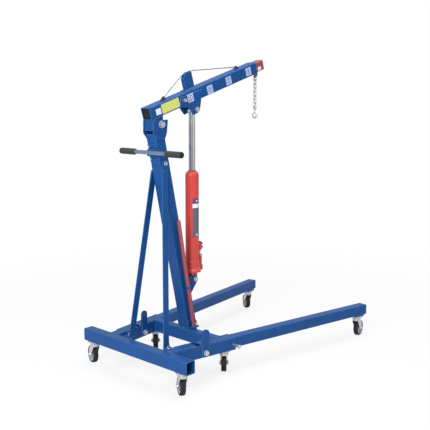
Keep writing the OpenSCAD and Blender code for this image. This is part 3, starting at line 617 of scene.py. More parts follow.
class Paint(Enum):
    """The finishes of the hoist, and the record's slot that each belongs to."""

    FRAME_BLUE = "frame_blue"
    CYLINDER_RED = "cylinder_red"
    BOOM_RED = "boom_red"
    HANDLE_RED = "handle_red"
    ZINC = "zinc_steel"
    CHROME = "rod_chrome"
    PUSH_BAR = "push_bar_steel"
    FORGED = "forged_steel"
    CABLE = "cable_steel"
    GRIP = "grip_rubber"
    TREAD = "tread_black"
    WHEEL = "wheel_grey"


# Each lighter edge colour below is a painted highlight along the edges, with some wear.
FINISHES: dict[Paint, Finish] = {
    Paint.FRAME_BLUE: Finish(
        "frame_blue_paint", (0.0066, 0.066, 0.240), 0.36, coat=0.02, specular=0.15, edge_colour=(0.12, 0.32, 0.62),
        edge_amount=0.55, bevel=0.0026, mottle=0.14, mottle_scale=7.0, grain=0.10, scratch=0.06,
        scratch_colour=(0.10, 0.22, 0.44), dust=0.03,
    ),
    Paint.CYLINDER_RED: Finish(
        "cylinder_red_paint", (0.60, 0.050, 0.044), 0.32, coat=0.15, specular=0.4, edge_colour=(0.78, 0.20, 0.15),
        grain=0.10, scratch=0.06, scratch_colour=(0.70, 0.25, 0.2), dust=0.05,
    ),
    Paint.BOOM_RED: Finish(
        "boom_red_paint", (0.30, 0.048, 0.056), 0.42, coat=0.08, specular=0.35, edge_colour=(0.66, 0.22, 0.20),
        bevel=0.002, mottle=0.14, scratch=0.20, scratch_colour=(0.45, 0.38, 0.38),
    ),
    Paint.HANDLE_RED: Finish(
        "handle_red_paint", (0.36, 0.060, 0.062), 0.42, coat=0.08, specular=0.35, edge_colour=(0.6, 0.22, 0.20),
        edge_amount=0.5, mottle=0.16, scratch_colour=(0.45, 0.38, 0.38),
    ),
    Paint.ZINC: Finish(
        "zinc_plate", (0.56, 0.57, 0.60), 0.34, metallic=0.85, edge_colour=(0.85, 0.86, 0.88), bevel=0.0006,
        mottle=0.16, mottle_scale=60.0, grain_scale=500.0, grain=0.10, scratch=0.20, dust=0.10,
    ),
    Paint.CHROME: Finish(
        "rod_chrome", (0.78, 0.79, 0.82), 0.14, metallic=1.0, bevel=0.0006, mottle=0.05, grain=0.02, scratch=0.04,
        scratch_colour=(0.45, 0.46, 0.48), dust=0.03,
    ),
    Paint.PUSH_BAR: Finish(
        "push_bar_plate", (0.22, 0.28, 0.38), 0.34, metallic=0.7, bevel=0.0006, mottle=0.10, grain=0.05, scratch=0.15,
    ),
    Paint.FORGED: Finish(
        "forged_steel", (0.48, 0.50, 0.53), 0.38, metallic=0.75, edge_colour=(0.7, 0.71, 0.73), bevel=0.001,
        mottle=0.2, mottle_scale=50.0, grain=0.2, scratch=0.2, scratch_colour=(0.3, 0.3, 0.31),
    ),
    Paint.CABLE: Finish(
        "cable_wire", (0.30, 0.31, 0.34), 0.40, metallic=0.8, bevel=0.0003, mottle=0.2, mottle_scale=90.0, grain=0.1,
        scratch=0.1,
    ),
    Paint.GRIP: Finish(
        "grip_foam", (0.038, 0.042, 0.047), 0.75, specular=0.2, mottle=0.25, mottle_scale=120.0, grain_scale=1400.0,
        grain=0.55, scratch=0.04, scratch_colour=(0.12, 0.12, 0.13), dust=0.10,
    ),
    Paint.TREAD: Finish(
        "tread_rubber", (0.012, 0.012, 0.014), 0.66, specular=0.35, bevel=0.001, mottle=0.25, mottle_scale=60.0,
        grain_scale=700.0, grain=0.35, scratch=0.08, scratch_colour=(0.08, 0.08, 0.08),
    ),
    Paint.WHEEL: Finish(
        "wheel_grey_plastic", (0.40, 0.42, 0.44), 0.42, specular=0.4, mottle=0.10, mottle_scale=40.0, grain=0.15,
        scratch=0.15, scratch_colour=(0.25, 0.25, 0.27),
    ),
}


class Shop:
    """Every material of the hoist, each built once."""

    def __init__(self) -> None:
        """Builds the paints."""
        self.effects = Effects()
        self.paints = {paint: finish.material(self.effects) for paint, finish in FINISHES.items()}
        self.films: dict[str, bpy.types.Material] = {}

    def of(self, paint: Paint) -> Dress:
        """The dress of a paint."""
        return Dress(self.paints[paint], paint.value)

    def film(self, name: str, colour: Rgb, slot: str = "frame_blue") -> Dress:
        """A thin printed film, a plain plastic or a dark film of painted shade, with little wear.

        Args:
            name: The material's name.
            colour: Its colour.
            slot: The record's slot of the part that it belongs to.

        Returns:
            Its dress, with the material made at the first call.
        """
        if name not in self.films:
            self.films[name] = Finish(
                name, colour, 0.45, specular=0.2, bevel=0.0002, mottle=0.05, mottle_scale=80.0, grain_scale=2500.0,
                grain=0.05, scratch=0.10, scratch_colour=tuple(0.04 + 0.7 * c for c in colour), dust=0.02,
            ).material(self.effects)
        return Dress(self.films[name], slot)

    def black(self) -> Dress:
        """The black rubber of seals and dark ends, and the painted shade inside the pump socket."""
        return self.film("seal_black", (0.012, 0.012, 0.014), "grip_rubber")

    def dress_nodes(self) -> None:
        """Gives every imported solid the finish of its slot."""
        slots = {row["node"]: row["material_slot"] for row in frame["record"]["subparts"]}
        for name, node in frame["nodes"].items():
            node.data.materials.clear()
            node.data.materials.append(self.paints[Paint(slots[name])])


# ---------- sub-assemblies


@dataclass
class Casters:
    """The six swivel casters: stamped forks, grey wheels and black tyres."""

    shop: Shop
    wheel_radius: float = 50.0
    tyre_half: float = 15.0
    rim_radius: float = 40.0
    hub_radius: float = 13.5
    hub_half: float = 17.6
    bore: float = 6.1
    web_ribs: int = 6
    plate_bolts: tuple[Point2, ...] = ((-22, -20), (22, -20), (22, 20), (-22, 20))
    race_levels: tuple[float, ...] = (112.4, 117.6)
    axle_starts: tuple[float, ...] = (-28.4, 25.4)

    def tyre(self, corner: Corner) -> None:
        """Builds one tyre, with a crown, shoulders and two moulded grooves.

        Args:
            corner: Which caster.
        """
        half, outer, inner = self.tyre_half, self.wheel_radius, self.rim_radius
        profile = [
            (inner, half - 2.0), (inner + 1, half), (outer - 5.2, half), (outer - 2.4, half - 1.4),
            (outer - 0.8, half - 4), (outer, half - 7),
            (outer, 3.2), (outer - 0.9, 2.6), (outer - 0.9, 1.8), (outer, 1.2),
        ]
        piece = Piece(f"tyre_{corner.value}_tread", wheel_frame(corner)).lathe(mirrored(profile), 72, "Y")
        piece.build(f"wheel_{corner.value}", self.shop.of(Paint.TREAD), stands_for=[f"tyre_{corner.value}"])

    def wheel(self, corner: Corner) -> None:
        """Builds one wheel centre: hub, dished web with ribs, and rim.

        Args:
            corner: Which caster.
        """
        half, bore, hub, rim = self.tyre_half, self.bore, self.hub_radius, self.rim_radius
        profile = [
            (bore, self.hub_half), (bore + 4, self.hub_half), (hub, self.hub_half - 1), (hub + 1.5, 7), (hub + 4, 5),
            (rim - 8, 5), (rim - 6, 7), (rim - 4.5, half - 2.2), (rim - 1, half - 1.8), (rim, half - 2.4),
        ]
        piece = Piece(f"wheel_{corner.value}_centre", wheel_frame(corner)).lathe(mirrored(profile), 64, "Y")
        middle, reach = (hub + rim - 5) / 2, (rim - 6 - hub) / 2
        for cosine, sine in circle(self.web_ribs):
            out = Vector((cosine, 0, sine))
            for level in (-5.4, 5.4):
                spot = out * middle + Y_AXIS * level
                piece.sweep(straight(spot - out * reach, spot + out * reach, 4.0), plain(1.6), 8)
        piece.build(f"wheel_{corner.value}", self.shop.of(Paint.WHEEL), stands_for=[f"wheel_{corner.value}"])

    @staticmethod
    def plate_frame(corner: Corner) -> Matrix:
        """Frame of a caster's top plate: zero on the floor under its swivel, X along the tube above it."""
        swivel = Joint.named(f"swivel_{corner.value}").origin
        along = X_AXIS if "rear" in corner.value else leg_frame(corner.side).col[0].xyz
        return axes_matrix(Vector((swivel.x, swivel.y, 0)), along, Z_AXIS.cross(along), Z_AXIS)

    def bolts(self, corner: Corner) -> None:
        """Puts four nuts under a caster's top plate, rings round its race and ends on its axle.

        Args:
            corner: Which caster.
        """
        zinc = self.shop.of(Paint.ZINC)
        plate = Piece(f"plate_nuts_{corner.value}", self.plate_frame(corner))
        for x, y in self.plate_bolts:
            plate.prism(disc_outline(6.4, 6, (x, y), 0.2 * x), 125.6, 131, "XY")
            end = [(0.0, 122.6), (3.4, 122.6), (4, 123.4), (4, 126), (0.0, 126)]
            plate.lathe(end, 16, "Z", Vector((x, y, 0)))
        for z in self.race_levels:
            plate.lathe([(24.6, z - 1), (25.9, z - 0.5), (25.9, z + 0.5), (24.6, z + 1)])
        plate.build(f"leg_{corner.side.word}" if "front" in corner.value else "base", zinc, bevel=0.3)
        axle = Piece(f"axle_ends_{corner.value}", wheel_frame(corner))
        for y in self.axle_starts:
            axle.lathe([(0.0, y), (4.6, y), (5, y + 0.6), (5, y + 2.4), (4.6, y + 3), (0.0, y + 3)], 20, "Y")
        axle.build(f"fork_{corner.value}", zinc)

    def build(self) -> None:
        """Builds the tyres, wheels and small parts of all six casters."""
        for corner in Corner:
            self.tyre(corner)
            self.wheel(corner)
            self.bolts(corner)


@dataclass
class BoomDress:
    """Films, painted shade in the free pin holes, a plug and the wire rope of the boom."""

    shop: Shop
    side_y: float = -34.0
    film: float = 0.25
    plate_lift: float = 4.0
    number_half: float = 23.0
    number_height: float = 19.0
    number_spots: tuple[Point2, ...] = ((251.0, 68.0), (416.0, 66.0), (579.0, 69.0), (760.0, 71.0))
    free_holes: tuple[float, ...] = (362, 530, 698)
    axis_z: float = 72.0
    rope_end_z: float = 119.0
    rope_top_z: float = 198.6

    def sticker(
        self, name: str, low: Point2, high: Point2, colour: Rgb, lift: float = 0.0, body: str = "boom",
        slot: str = "frame_blue",
    ) -> None:
        """Puts a thin coloured film on the boom's side.

        Args:
            name: The piece's name.
            low: Lower rear corner in millimetres, along and square to the boom.
            high: Upper front corner.
            colour: The film's colour.
            lift: How far further out it lies, over another film or a plate.
            body: The body that it moves with.
            slot: The record's slot of what it lies on.
        """
        face = self.side_y - lift
        piece = Piece(name, boom_frame()).prism(rounded_box(low, high, 2.0), face - self.film, face)
        piece.build(body, self.shop.film(f"film_{name}", colour, slot))

    def figure(self, name: str, text: str, spot: Point2, back: float, ink: Dress) -> None:
        """Makes a plain number as a thin mesh on the boom's side.

        Args:
            name: The piece's name.
            text: The number.
            spot: Its middle, along and square to the boom.
            back: Where its middle plane lies across the boom.
            ink: What it is made of.
        """
        curve = bpy.data.curves.new(name, "FONT")
        curve.body = text
        curve.size = self.number_height * MM * 1.35
        curve.align_x, curve.align_y = "CENTER", "CENTER"
        curve.extrude = self.film * MM * 0.3
        carrier = add_object(name, curve)
        bpy.context.view_layer.update()
        mesh = bpy.data.meshes.new_from_object(carrier.evaluated_get(bpy.context.evaluated_depsgraph_get()))
        bpy.data.objects.remove(carrier)
        mesh.transform(boom_frame() @ axes_matrix(Vector((spot[0], back, spot[1])) * MM, X_AXIS, Z_AXIS, -Y_AXIS))
        ink.put_on(add_object(name, mesh), "boom")

    def numbers(self) -> None:
        """Puts a pale square with a ring and a plain number beside each pin hole."""
        pale = self.shop.film("film_number", (0.42, 0.50, 0.78))
        ink = self.shop.film("film_number_ink", (0.05, 0.07, 0.20))
        half = self.number_half
        for k, (along, square) in enumerate(self.number_spots, 1):
            face = self.side_y - (self.plate_lift + self.film if k == 1 else 0.0)
            front = face - 1.6 * self.film
            plate = rounded_box((along - half, square - half), (along + half, square + half), 3.0)
            Piece(f"number_{k}_plate", boom_frame()).prism(plate, face - self.film, face).build("boom", pale)
            outer, inner = (disc_outline(radius, 40, (along, square)) for radius in (15, 12.4))
            Piece(f"number_{k}_ring", boom_frame()).ring(outer, inner, front, face - self.film).build("boom", ink)
            self.figure(f"number_{k}_figure", str(k), (along, square), front, ink)

    def hole_shades(self) -> None:
        """Puts a dark disc of painted shade in each of the three free pin holes, just outside the inner boom."""
        piece = Piece("hole_shades", boom_frame())
        for along in self.free_holes:
            piece.prism(disc_outline(6.0, 28, (along, self.axis_z)), -30.4, -29.7)
        piece.build("boom", self.shop.film("hole_dark", (0.006, 0.008, 0.014)))

    def plug(self) -> None:
        """Closes the rear of the outer boom with a black plastic plug, set in from its edge; its black also serves as
        painted shade for the dark inside of the boom's rear.
        """
        piece = Piece("boom_plug", facing(boom_frame(), Vector((-46, 0, self.axis_z)), -X_AXIS))
        piece.prism(rounded_box((-29.6, -29.6), (29.6, 29.6), 3.0), -4, 0.0, "XY")
        piece.prism(rounded_box((-22, -22), (22, 22), 4.0), -8, -3, "XY")
        piece.build("boom", self.shop.film("plug_black", (0.010, 0.010, 0.012), "grip_rubber"), bevel=0.8)

    def rope(self) -> None:
        """Lays the wire rope over the strut, with a pressed sleeve and an anchor at each end."""
        place, foot, top = boom_frame(), self.rope_end_z, self.rope_top_z
        corners = [Vector((96, 0, foot)), Vector((274, 0, top)), Vector((324, 0, top)), Vector((686, 0, foot))]

        def strands(turn: float, length: float) -> float:
            """Radius of a rope of six strands."""
            return 2.55 + 0.45 * abs(math.cos(3 * turn - 2 * math.pi * length / 64))

        Piece("wire_rope", place).sweep(soft_path(corners, 12, 2.61), strands, 30).build(
            "boom", self.shop.of(Paint.CABLE), stands_for=["guy_cable"], sharp=60
        )
        dark = self.shop.film("anchor_dark", (0.05, 0.055, 0.07), "cable_steel")
        profile = [
            (2.9, 2), (4.7, 2), (5, 3), (5, 11), (4.5, 11.8), (4.5, 13), (5, 13.8), (5, 24), (4.4, 26), (2.9, 26),
        ]
        for k, (end, beyond, sign) in enumerate(((corners[0], corners[1], 1), (corners[3], corners[2], -1)), 1):
            along = (beyond - end).normalized()
            Piece(f"rope_sleeve_{k}", facing(place, end, along)).lathe(profile, 28).build(
                "boom", self.shop.of(Paint.ZINC)
            )
            a, dx, dz = end.x, -along.z * sign, along.x * sign
            outline = [
                (a - 34 * sign, 106), (a + 10 * sign, 106), (a - 6 * dx, foot - 6 * dz), (a + 7 * dx, foot + 7 * dz),
                (a + 7 * dx - 10 * along.x, foot + 7 * dz - 10 * along.z),
            ]
            Piece(f"rope_anchor_{k}", place).prism(outline, -5, 5).build("boom", dark, bevel=1.2)

    def build(self) -> None:
        """Builds everything on the boom."""
        # The yellow notice and the small pale one behind it are printed labels.
        self.sticker("notice_plate", (33, 41), (166, 97), (0.60, 0.63, 0.16))
        # A dark strip along the lower edge of the yellow notice.
        self.sticker("notice_edge", (33, 41), (166, 47), (0.16, 0.18, 0.16), self.film)
        self.sticker("notice_corner", (-11, 52), (26, 84), (0.70, 0.74, 0.80))
        self.numbers()
        self.hole_shades()
        # A pale pinkish patch on the side of the inner boom's end.
        self.sticker("end_patch", (853, 50), (884, 71), (0.80, 0.74, 0.74), -5.0, "inner_boom", "boom_red")
        self.plug()
        self.rope()


@dataclass
class Tackle:
    """The chain and the hook that hang from the boom."""

    shop: Shop
    wire: float = 3.5
    bend: float = 8.5
    half_straight: float = 6.45
    pitch: float = 22.6
    links: int = 8
    weld_at: float = 41.0
    eye_z: float = -2.2
    bowl_z: float = -45.2
    bowl_radius: float = 16.0
    hook_radius: float = 4.1
    hook_swell: float = 1.7

    def link_path(self, crosswise: bool, middle: float) -> list[Vector]:
        """Middle line of one link, a stadium.

        Args:
            crosswise: Whether the link lies across the hoist.
            middle: Height of its middle.

        Returns:
            The closed path.
        """
        points = []
        steps = 32
        for cosine, sine in circle(steps, math.pi / steps):
            out, up = self.bend * cosine, self.bend * sine
            up += math.copysign(self.half_straight, up)
            points.append(Vector((0, out, middle + up) if crosswise else (out, 0, middle + up)))
        return points

    def chain(self) -> None:
        """Builds the links, each with the small lump of its weld."""

        def wire(turn: float, length: float) -> float:
            """Radius of the wire, thicker over the weld."""
            return self.wire * (1 + 0.10 * math.exp(-(((length - self.weld_at) / 1.6) ** 2)))

        piece = Piece("chain_links", Matrix.Translation(Joint.named("chain_swing").origin))
        for k in range(self.links):
            piece.sweep(self.link_path(k % 2 == 0, -14.95 - k * self.pitch), wire, 16, closed=True)
        piece.build("chain", self.shop.of(Paint.ZINC), stands_for=["chain"], sharp=60)

    def hook(self) -> None:
        """Builds the forged hook: an eye, a neck, and a bowl that swells at its lowest point and thins to its tip."""
        eye = self.eye_z
        piece = Piece("hook_forging", axes_matrix(Joint.named("hook_swing").origin, Y_AXIS, -X_AXIS, Z_AXIS))
        piece.sweep([Vector((10 * c, 0, eye + 10 * s)) for c, s in circle(40)], plain(4.0), 18, closed=True)
        path = [Vector((x, 0, eye - z)) for x, z in ((0, 9), (-0.6, 15), (-3.6, 22), (-7.4, 27.5))]
        first, sweep, steps = 128, 257, 44
        deepest, spread, tip_from, tip_share = 0.56, 0.22, 0.94, 0.062
        for k in range(steps + 1):
            turn = math.radians(first + sweep * k / steps)
            path.append(Vector((math.cos(turn), 0, math.sin(turn))) * self.bowl_radius + Z_AXIS * self.bowl_z)
        last, tip = path[-1] - path[-2], path[-1]
        path += [tip + last * reach for reach in (0.9, 1.5, 1.8)]
        total = sum((b - a).length for a, b in zip(path, path[1:]))

        def body(turn: float, length: float) -> float:
            """Radius along the hook, thicker at its lowest point and round at its tip."""
            share = length / total
            swell = self.hook_radius + self.hook_swell * math.exp(-(((share - deepest) / spread) ** 2))
            if share > tip_from:
                swell *= math.sqrt(max(0.02, 1 - ((share - tip_from) / tip_share) ** 2))
            return swell

        piece.sweep(path, body, 20).build("hook", self.shop.of(Paint.FORGED), stands_for=["hook"], sharp=60)

    def build(self) -> None:
        """Builds the chain and the hook."""
        self.chain()
        self.hook()


@dataclass
class PushBar:
    """Ribbed foam grips on the push bar."""

    shop: Shop
    bore: float = 11.0
    outer: float = 17.0
    start: float = 121.0
    end: float = 237.0
    ribs: int = 13

    def build(self) -> None:
        """Builds both grips in place of the plain ones, and their dark ends."""
        low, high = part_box("push_bar")
        outer, start, end = self.outer, self.start, self.end
        pitch = (end - start - 10) / self.ribs
        grip = [(self.bore, start), (outer - 2, start), (outer - 0.4, start + 2)]
        for k in range(self.ribs):
            rib, groove = start + 4 + k * pitch, outer - 1.1
            grip += [(outer, rib + 1), (outer, rib + pitch - 3), (groove, rib + pitch - 2), (groove, rib + pitch - 0.6)]
        grip += [(outer, end - 4), (outer - 1.2, end - 1.2), (outer - 4, end), (0.0, end), (0.0, end - 4),
                 (self.bore, end - 4)]
        cap = [(0.0, end - 0.6), (outer - 3.4, end - 0.6), (outer - 2.6, end - 1.4), (outer - 0.9, end - 1.2),
               (outer - 1.6, end + 0.2), (outer - 4, end + 0.9), (0.0, end + 0.9)]
        for name, profile, dress, stands_for in (
            ("foam_grips", grip, self.shop.of(Paint.GRIP), ["push_bar_grips"]),
            ("grip_ends", cap, self.shop.black(), []),
        ):
            piece = Piece(name, Matrix.Translation((low + high) / 2))
            for sign in (-1, 1):
                piece.lathe([(radius, sign * height) for radius, height in profile], 40, "Y")
            piece.build("base", dress, stands_for=stands_for)


@dataclass
class Welds:
    """Weld beads where plates and tubes meet, painted over with the frame."""

    shop: Shop
    size: float = 2.2

    def run(
        self, name: str, place: Matrix, body: str, lines: Iterable[Iterable[Point3]], paint: Paint = Paint.FRAME_BLUE
    ) -> None:
        """Lays a set of beads as one piece.

        Args:
            name: The piece's name.
            place: The frame of its points.
            body: The body that it moves with.
            lines: One list of corner points for each bead.
            paint: The paint over it.
        """
        piece = Piece(name, place)
        for line in lines:
            piece.sweep(soft_path(line, 3, 0.8), bead(self.size), 8)
        piece.build(body, self.shop.of(paint), sharp=60)

    @staticmethod
    def post_front(height: float) -> float:
        """The post's front face at a height above the base, from the rear of the base."""
        lean = math.radians(12.4)
        return 429.5 - math.tan(lean) * height + 35 / math.cos(lean)

    def base(self) -> None:
        """Beads of the rear tube, the crossbar, the brackets and the foot of the post."""
        low, high = self.post_front(199) + 0.6, self.post_front(302) + 0.6
        lines = []
        for s in (-1, 1):
            lines += [
                [(60.4, s * 191, 203.2), (60.4, s * 244, 203.2)],
                [(62.6, s * 184.4, 141), (62.6, s * 184.4, 199)],
                [(62.6, s * 250.6, 141), (62.6, s * 250.6, 199)],
                [(384, s * 44.6, 205.6), (432, s * 44.6, 205.6)],
                [(394, s * 41.6, 213.4), (464, s * 41.6, 213.4)],
                [(163, s * 36.8, 1292.4), (218, s * 36.8, 1292.4)],
                [(low, s * 25.6, 404), (high, s * 25.6, 507)],
            ]
        for x, half, z in ((383, 42, 202.8), (391.4, 31, 213.4), (464.2, 31, 213.4)):
            lines.append([(x, -half, z), (x, half, z)])
        self.run("welds_base", base_frame(), "base", lines)

    def brackets(self) -> None:
        """Beads of the crossbar's ends and the tabs on both leg brackets."""
        for side in Side:
            inner = -side.value * 37.6
            lines = [[(104, inner, 43.6), (154, inner, 43.6)]]
            for x, y, low, high in (
                (100.4, inner, -19, 39), (158.4, inner, -19, 39), (-22.6, -37.6, -17, 43), (22.6, -37.6, -17, 43),
            ):
                lines.append([(x, y, low), (x, y, high)])
            self.run(f"welds_bracket_{side.word}", leg_frame(side), "base", lines)

    def boom(self) -> None:
        """Beads of the clevis plates, the strut and the pivot lug, and of the chain lug on the inner boom."""
        lines = []
        for s in (-1, 1):
            clevis = ((175.5, 39), (164, 43), (183, 90.8), (346, 86.6), (328.8, 39))
            lines += [
                [(x, s * 34.9, z) for x, z in clevis],
                [(257, s * 11.6, 110.4), (323, s * 11.6, 110.4)],
                [(-43, s * 32.2, 37.4), (31, s * 32.2, 37.4)],
            ]
        strut = ((246, -20.4), (246, 20.4), (334, 20.4), (334, -20.4), (247, -20.4))
        lines.append([(x, y, 106.4) for x, y in strut])
        self.run("welds_boom", boom_frame(), "boom", lines)
        lug = [[(842, y, 42.4), (880, y, 42.4)] for y in (-3.4, 3.4)]
        self.run("welds_chain_lug", boom_frame(), "inner_boom", lug, Paint.BOOM_RED)

    def build(self) -> None:
        """Lays every bead."""
        self.base()
        self.brackets()
        self.boom()


@dataclass
class BoltEnds:
    """Threaded ends that stand out of the nuts."""

    shop: Shop
    pitch: float = 1.5
    length: float = 5.0
    frame_bolts: tuple[tuple[float, ...], ...] = (
        (193, 59, 1369, 10), (219.1, 52.6, 1162, 6), (441.4, 52.6, 228, 6), (461, 39.6, 486, 8),
    )
    pivot_bolt: tuple[float, ...] = (0, 51.8, 0, 8)

    def ends(self, name: str, place: Matrix, bolts: Iterable[Sequence[float]]) -> None:
        """Builds threaded ends along +Y as one piece of the base.

        Args:
            name: The piece's name.
            place: The frame of the bolts.
            bolts: The middle of each inner end, and the bolt's outer radius.
        """
        piece = Piece(name, place)
        for x, y, z, radius in bolts:
            profile = [(0.0, -1.0), (radius, -1.0)]
            for k in range(int(self.length / self.pitch)):
                profile += [(radius, k * self.pitch + 0.3), (radius - 0.8, k * self.pitch + 0.9)]
            profile += [(radius - 0.2, self.length - 0.6), (radius - 1.2, self.length), (0.0, self.length)]
            piece.lathe(profile, 28, "Y", Vector((x, y, z)))
        piece.build("base", self.shop.of(Paint.ZINC))

    def build(self) -> None:
        """Builds the ends of the frame's bolts and of the leg pivots."""
        self.ends("bolt_ends_base", base_frame(), self.frame_bolts)
        for side in Side:
            self.ends(f"bolt_end_leg_{side.word}", leg_frame(side), [self.pivot_bolt])


@dataclass
class RamDress:
    """Films, seals and small fittings of the ram and its pump."""

    shop: Shop
    radius: float = 38.0
    film: float = 0.25
    steps: int = 20

    def band(self, name: str, heights: Point2, colour: Rgb, angles: Point2 = (-131, -55), lift: float = 0.0) -> None:
        """Wraps a film part of the way round the cylinder.

        Args:
            name: The piece's name.
            heights: Its lower and upper edge above the ram's lower pin.
            colour: The film's colour.
            angles: Where it starts and ends, in degrees from +X.
            lift: How far further out it lies, over another film.
        """
        (low, high), (first, last) = heights, angles
        inner, outer = self.radius + lift, self.radius + lift + self.film
        rings = []
        for k in range(self.steps + 1):
            turn = math.radians(first + (last - first) * k / self.steps)
            out = Vector((math.cos(turn), math.sin(turn), 0))
            rings.append([out * r + Z_AXIS * z for r, z in ((inner, low), (inner, high), (outer, high), (outer, low))])
        piece = Piece(name, ram_frame()).skin(rings)
        piece.build("ram", self.shop.film(f"film_{name}", colour, "cylinder_red"), sharp=50)

    def fittings(self) -> None:
        """Builds the wiper at the rod's gland, the bead at the foot, the pump's gland nut, the socket's lip, and a
        black liner and floor inside the socket as painted shade.
        """
        black = self.shop.black()
        wiper = [(18.3, 616), (22.6, 616), (22.6, 619), (20.4, 620.8), (18.9, 620.6), (18.3, 619.4)]
        Piece("rod_wiper", ram_frame()).lathe(wiper, 64).build("ram", black, bevel=0.3)
        foot = [Vector((38.2 * c, 38.2 * s, 108)) for c, s in circle(160)]
        Piece("foot_bead", ram_frame()).sweep(foot, bead(2.4), 8, closed=True).build(
            "ram", self.shop.of(Paint.CYLINDER_RED), sharp=60
        )
        low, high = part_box("pump_plunger")
        pump = Matrix.Translation(Vector(((low.x + high.x) / 2, (low.y + high.y) / 2, 0)))
        nut = [(7.3, 608), (13.2, 608), (13.6, 609), (13.6, 617), (13.0, 618), (7.3, 618)]
        Piece("pump_gland_nut", pump).lathe(nut, 6).build("ram", self.shop.of(Paint.ZINC), bevel=0.4)
        seal = [(6.3, 617.5), (9.6, 617.5), (9.0, 620), (7.0, 621), (6.3, 620)]
        Piece("pump_wiper", pump).lathe(seal, 32).build("ram", black)
        out = Vector((1, 0, 1)).normalized()
        pin = Matrix.Translation(Joint.named("pump_rock").origin)
        piece = Piece("socket_lip", facing(pin, Vector((-out.z, 0, out.x)) * 2, out))
        lip = [(10.55, 25), (12.4, 25), (13.3, 26), (13.3, 32.4), (12.6, 33.4), (10.55, 33.4)]
        # The black liner and floor inside the socket are painted shade for its dark bore.
        painted_shade_liner = [(9.9, 10.6), (10.45, 10.6), (10.45, 33.2), (9.9, 33.2)]
        floor = [(0.0, 10.3), (10.3, 10.3), (10.3, 10.9), (0.0, 10.9)]
        for profile in (lip, painted_shade_liner, floor):
            piece.lathe(profile, 40)
        piece.build("pump_socket", black)

    def build(self) -> None:
        """Builds the films, from the top one down, and the fittings."""
        white = (0.80, 0.81, 0.84)
        self.band("ram_patch", (437, 467), (0.11, 0.06, 0.20))
        self.band("ram_white_band", (412, 435), white)
        self.band("ram_notice", (245, 411), (0.115, 0.12, 0.15))
        self.band("ram_patch_dot", (446, 456), white, (-99, -84), self.film)
        self.band("ram_notice_dot", (254, 264), white, (-99, -84), self.film)
        self.fittings()


# ---------- studio


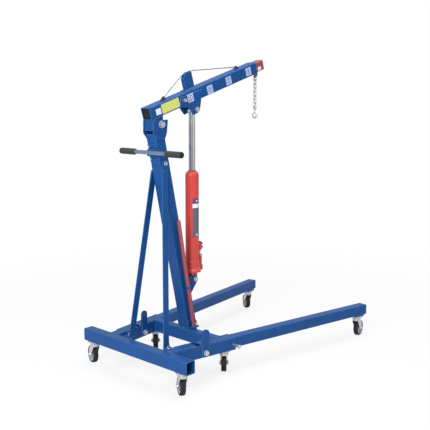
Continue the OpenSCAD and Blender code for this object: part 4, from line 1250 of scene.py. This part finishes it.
@dataclass(frozen=True)
class Studio:
    """Floor, backdrop, lamps and camera, with lengths in metres and the lens in millimetres."""

    focal: float = 62.640837
    sensor: float = 36.0
    eye: Point3 = (-2.5060, -2.9457, 1.5160)
    yaw: float = 43.02
    pitch: float = 9.01
    roll: float = 0.15
    floor_half: float = 60.0
    floor_tone: float = 0.80
    fade_reach: Point2 = (0.9, 3.4)
    sky_light: float = 0.40
    sky_gloss: float = 0.25
    lamp_aim: Point3 = (0, 0, 0.7)

    def camera(self) -> None:
        """Places the camera behind the hoist, to its right."""
        lens = bpy.data.cameras.new("camera")
        lens.sensor_width = self.sensor
        lens.lens = self.focal
        camera = add_object("camera", lens)
        yaw, pitch, roll = (math.radians(a) for a in (self.yaw, self.pitch, self.roll))
        ahead = Vector((math.cos(yaw) * math.cos(pitch), math.sin(yaw) * math.cos(pitch), -math.sin(pitch)))
        right = Vector((math.sin(yaw), -math.cos(yaw), 0))
        up = right.cross(ahead)
        level_right = math.cos(roll) * right + math.sin(roll) * up
        level_up = -math.sin(roll) * right + math.cos(roll) * up
        camera.matrix_world = axes_matrix(base_frame() @ Vector(self.eye), level_right, level_up, -ahead)
        bpy.context.scene.camera = camera

    def floor(self) -> None:
        """Lays a plain pale floor that keeps the hoist's shadow and fades to white away from it."""
        half = self.floor_half
        mesh = bpy.data.meshes.new("floor")
        mesh.from_pydata([(-half, -half, 0), (half, -half, 0), (half, half, 0), (-half, half, 0)], [], [(0, 1, 2, 3)])
        floor = add_object("floor", mesh)
        made = bpy.data.materials.new("floor_pale")
        nodes = Nodes.cleared(made)
        diffuse = nodes.add("BsdfDiffuse", {"Color": (self.floor_tone, self.floor_tone, self.floor_tone, 1)})
        glow = nodes.add("Emission", {"Color": (1, 1, 1, 1)})
        away = nodes.add("VectorMath", {0: nodes.add("NewGeometry").outputs["Position"]}, operation="LENGTH")
        fade = nodes.add("MapRange", {
            "Value": away.outputs["Value"], "From Min": self.fade_reach[0], "From Max": self.fade_reach[1],
            "To Min": self.floor_tone, "To Max": 1.0,
        }, interpolation_type="SMOOTHSTEP")
        share = nodes.math("MULTIPLY", nodes.add("LightPath").outputs["Is Camera Ray"], fade.outputs["Result"])
        blend = nodes.add("MixShader", {0: share, 1: diffuse.outputs[0], 2: glow.outputs[0]})
        nodes.add("OutputMaterial", {"Surface": blend.outputs[0]})
        floor.data.materials.append(made)

    def world(self) -> None:
        """Gives a white backdrop, and less light than that on the hoist itself."""
        world = bpy.data.worlds.new("studio")
        bpy.context.scene.world = world
        nodes = Nodes.cleared(world)
        path = nodes.add("LightPath").outputs
        seen = nodes.math("MAXIMUM", path["Is Camera Ray"], path["Is Transmission Ray"])
        strength = nodes.math("ADD", nodes.math("MULTIPLY", path["Is Glossy Ray"], self.sky_gloss), self.sky_light)
        soft = nodes.add("Background", {"Color": (0.93, 0.96, 1.0, 1), "Strength": strength})
        white = nodes.add("Background", {"Color": (1, 1, 1, 1), "Strength": 1.0})
        blend = nodes.add("MixShader", {0: seen, 1: soft.outputs[0], 2: white.outputs[0]})
        nodes.add("OutputWorld", {"Surface": blend.outputs[0]})

    def lamp(self, name: str, where: Point3, size: float, watts: float) -> None:
        """Hangs a soft square lamp that looks at the hoist's middle.

        Args:
            name: The lamp's name.
            where: Its place.
            size: The side of its square.
            watts: Its power.
        """
        light = bpy.data.lights.new(name, "AREA")
        light.energy = watts
        light.size = size
        holder = add_object(name, light)
        holder.location = where
        holder.rotation_mode = "QUATERNION"
        holder.rotation_quaternion = (Vector(self.lamp_aim) - Vector(where)).to_track_quat("-Z", "Y")

    def build(self) -> None:
        """Sets up the whole studio."""
        bpy.context.scene.view_settings.view_transform = "Standard"
        self.camera()
        self.floor()
        self.world()
        self.lamp("key_lamp", (-4.2, -1.5, 2.9), 2.6, 200)
        self.lamp("top_lamp", (0.4, -0.6, 5.0), 3.4, 148)
        self.lamp("fill_lamp", (1.4, -4.4, 2.0), 3.0, 14)


def main() -> None:
    """Builds the studio and every sub-assembly."""
    logging.basicConfig(level=logging.INFO, format="%(name)s: %(message)s")
    Studio().build()
    shop = Shop()
    shop.dress_nodes()
    for assembly in (Casters, BoomDress, Tackle, PushBar, Welds, BoltEnds, RamDress):
        assembly(shop).build()


if __name__ == "__main__":
    main()
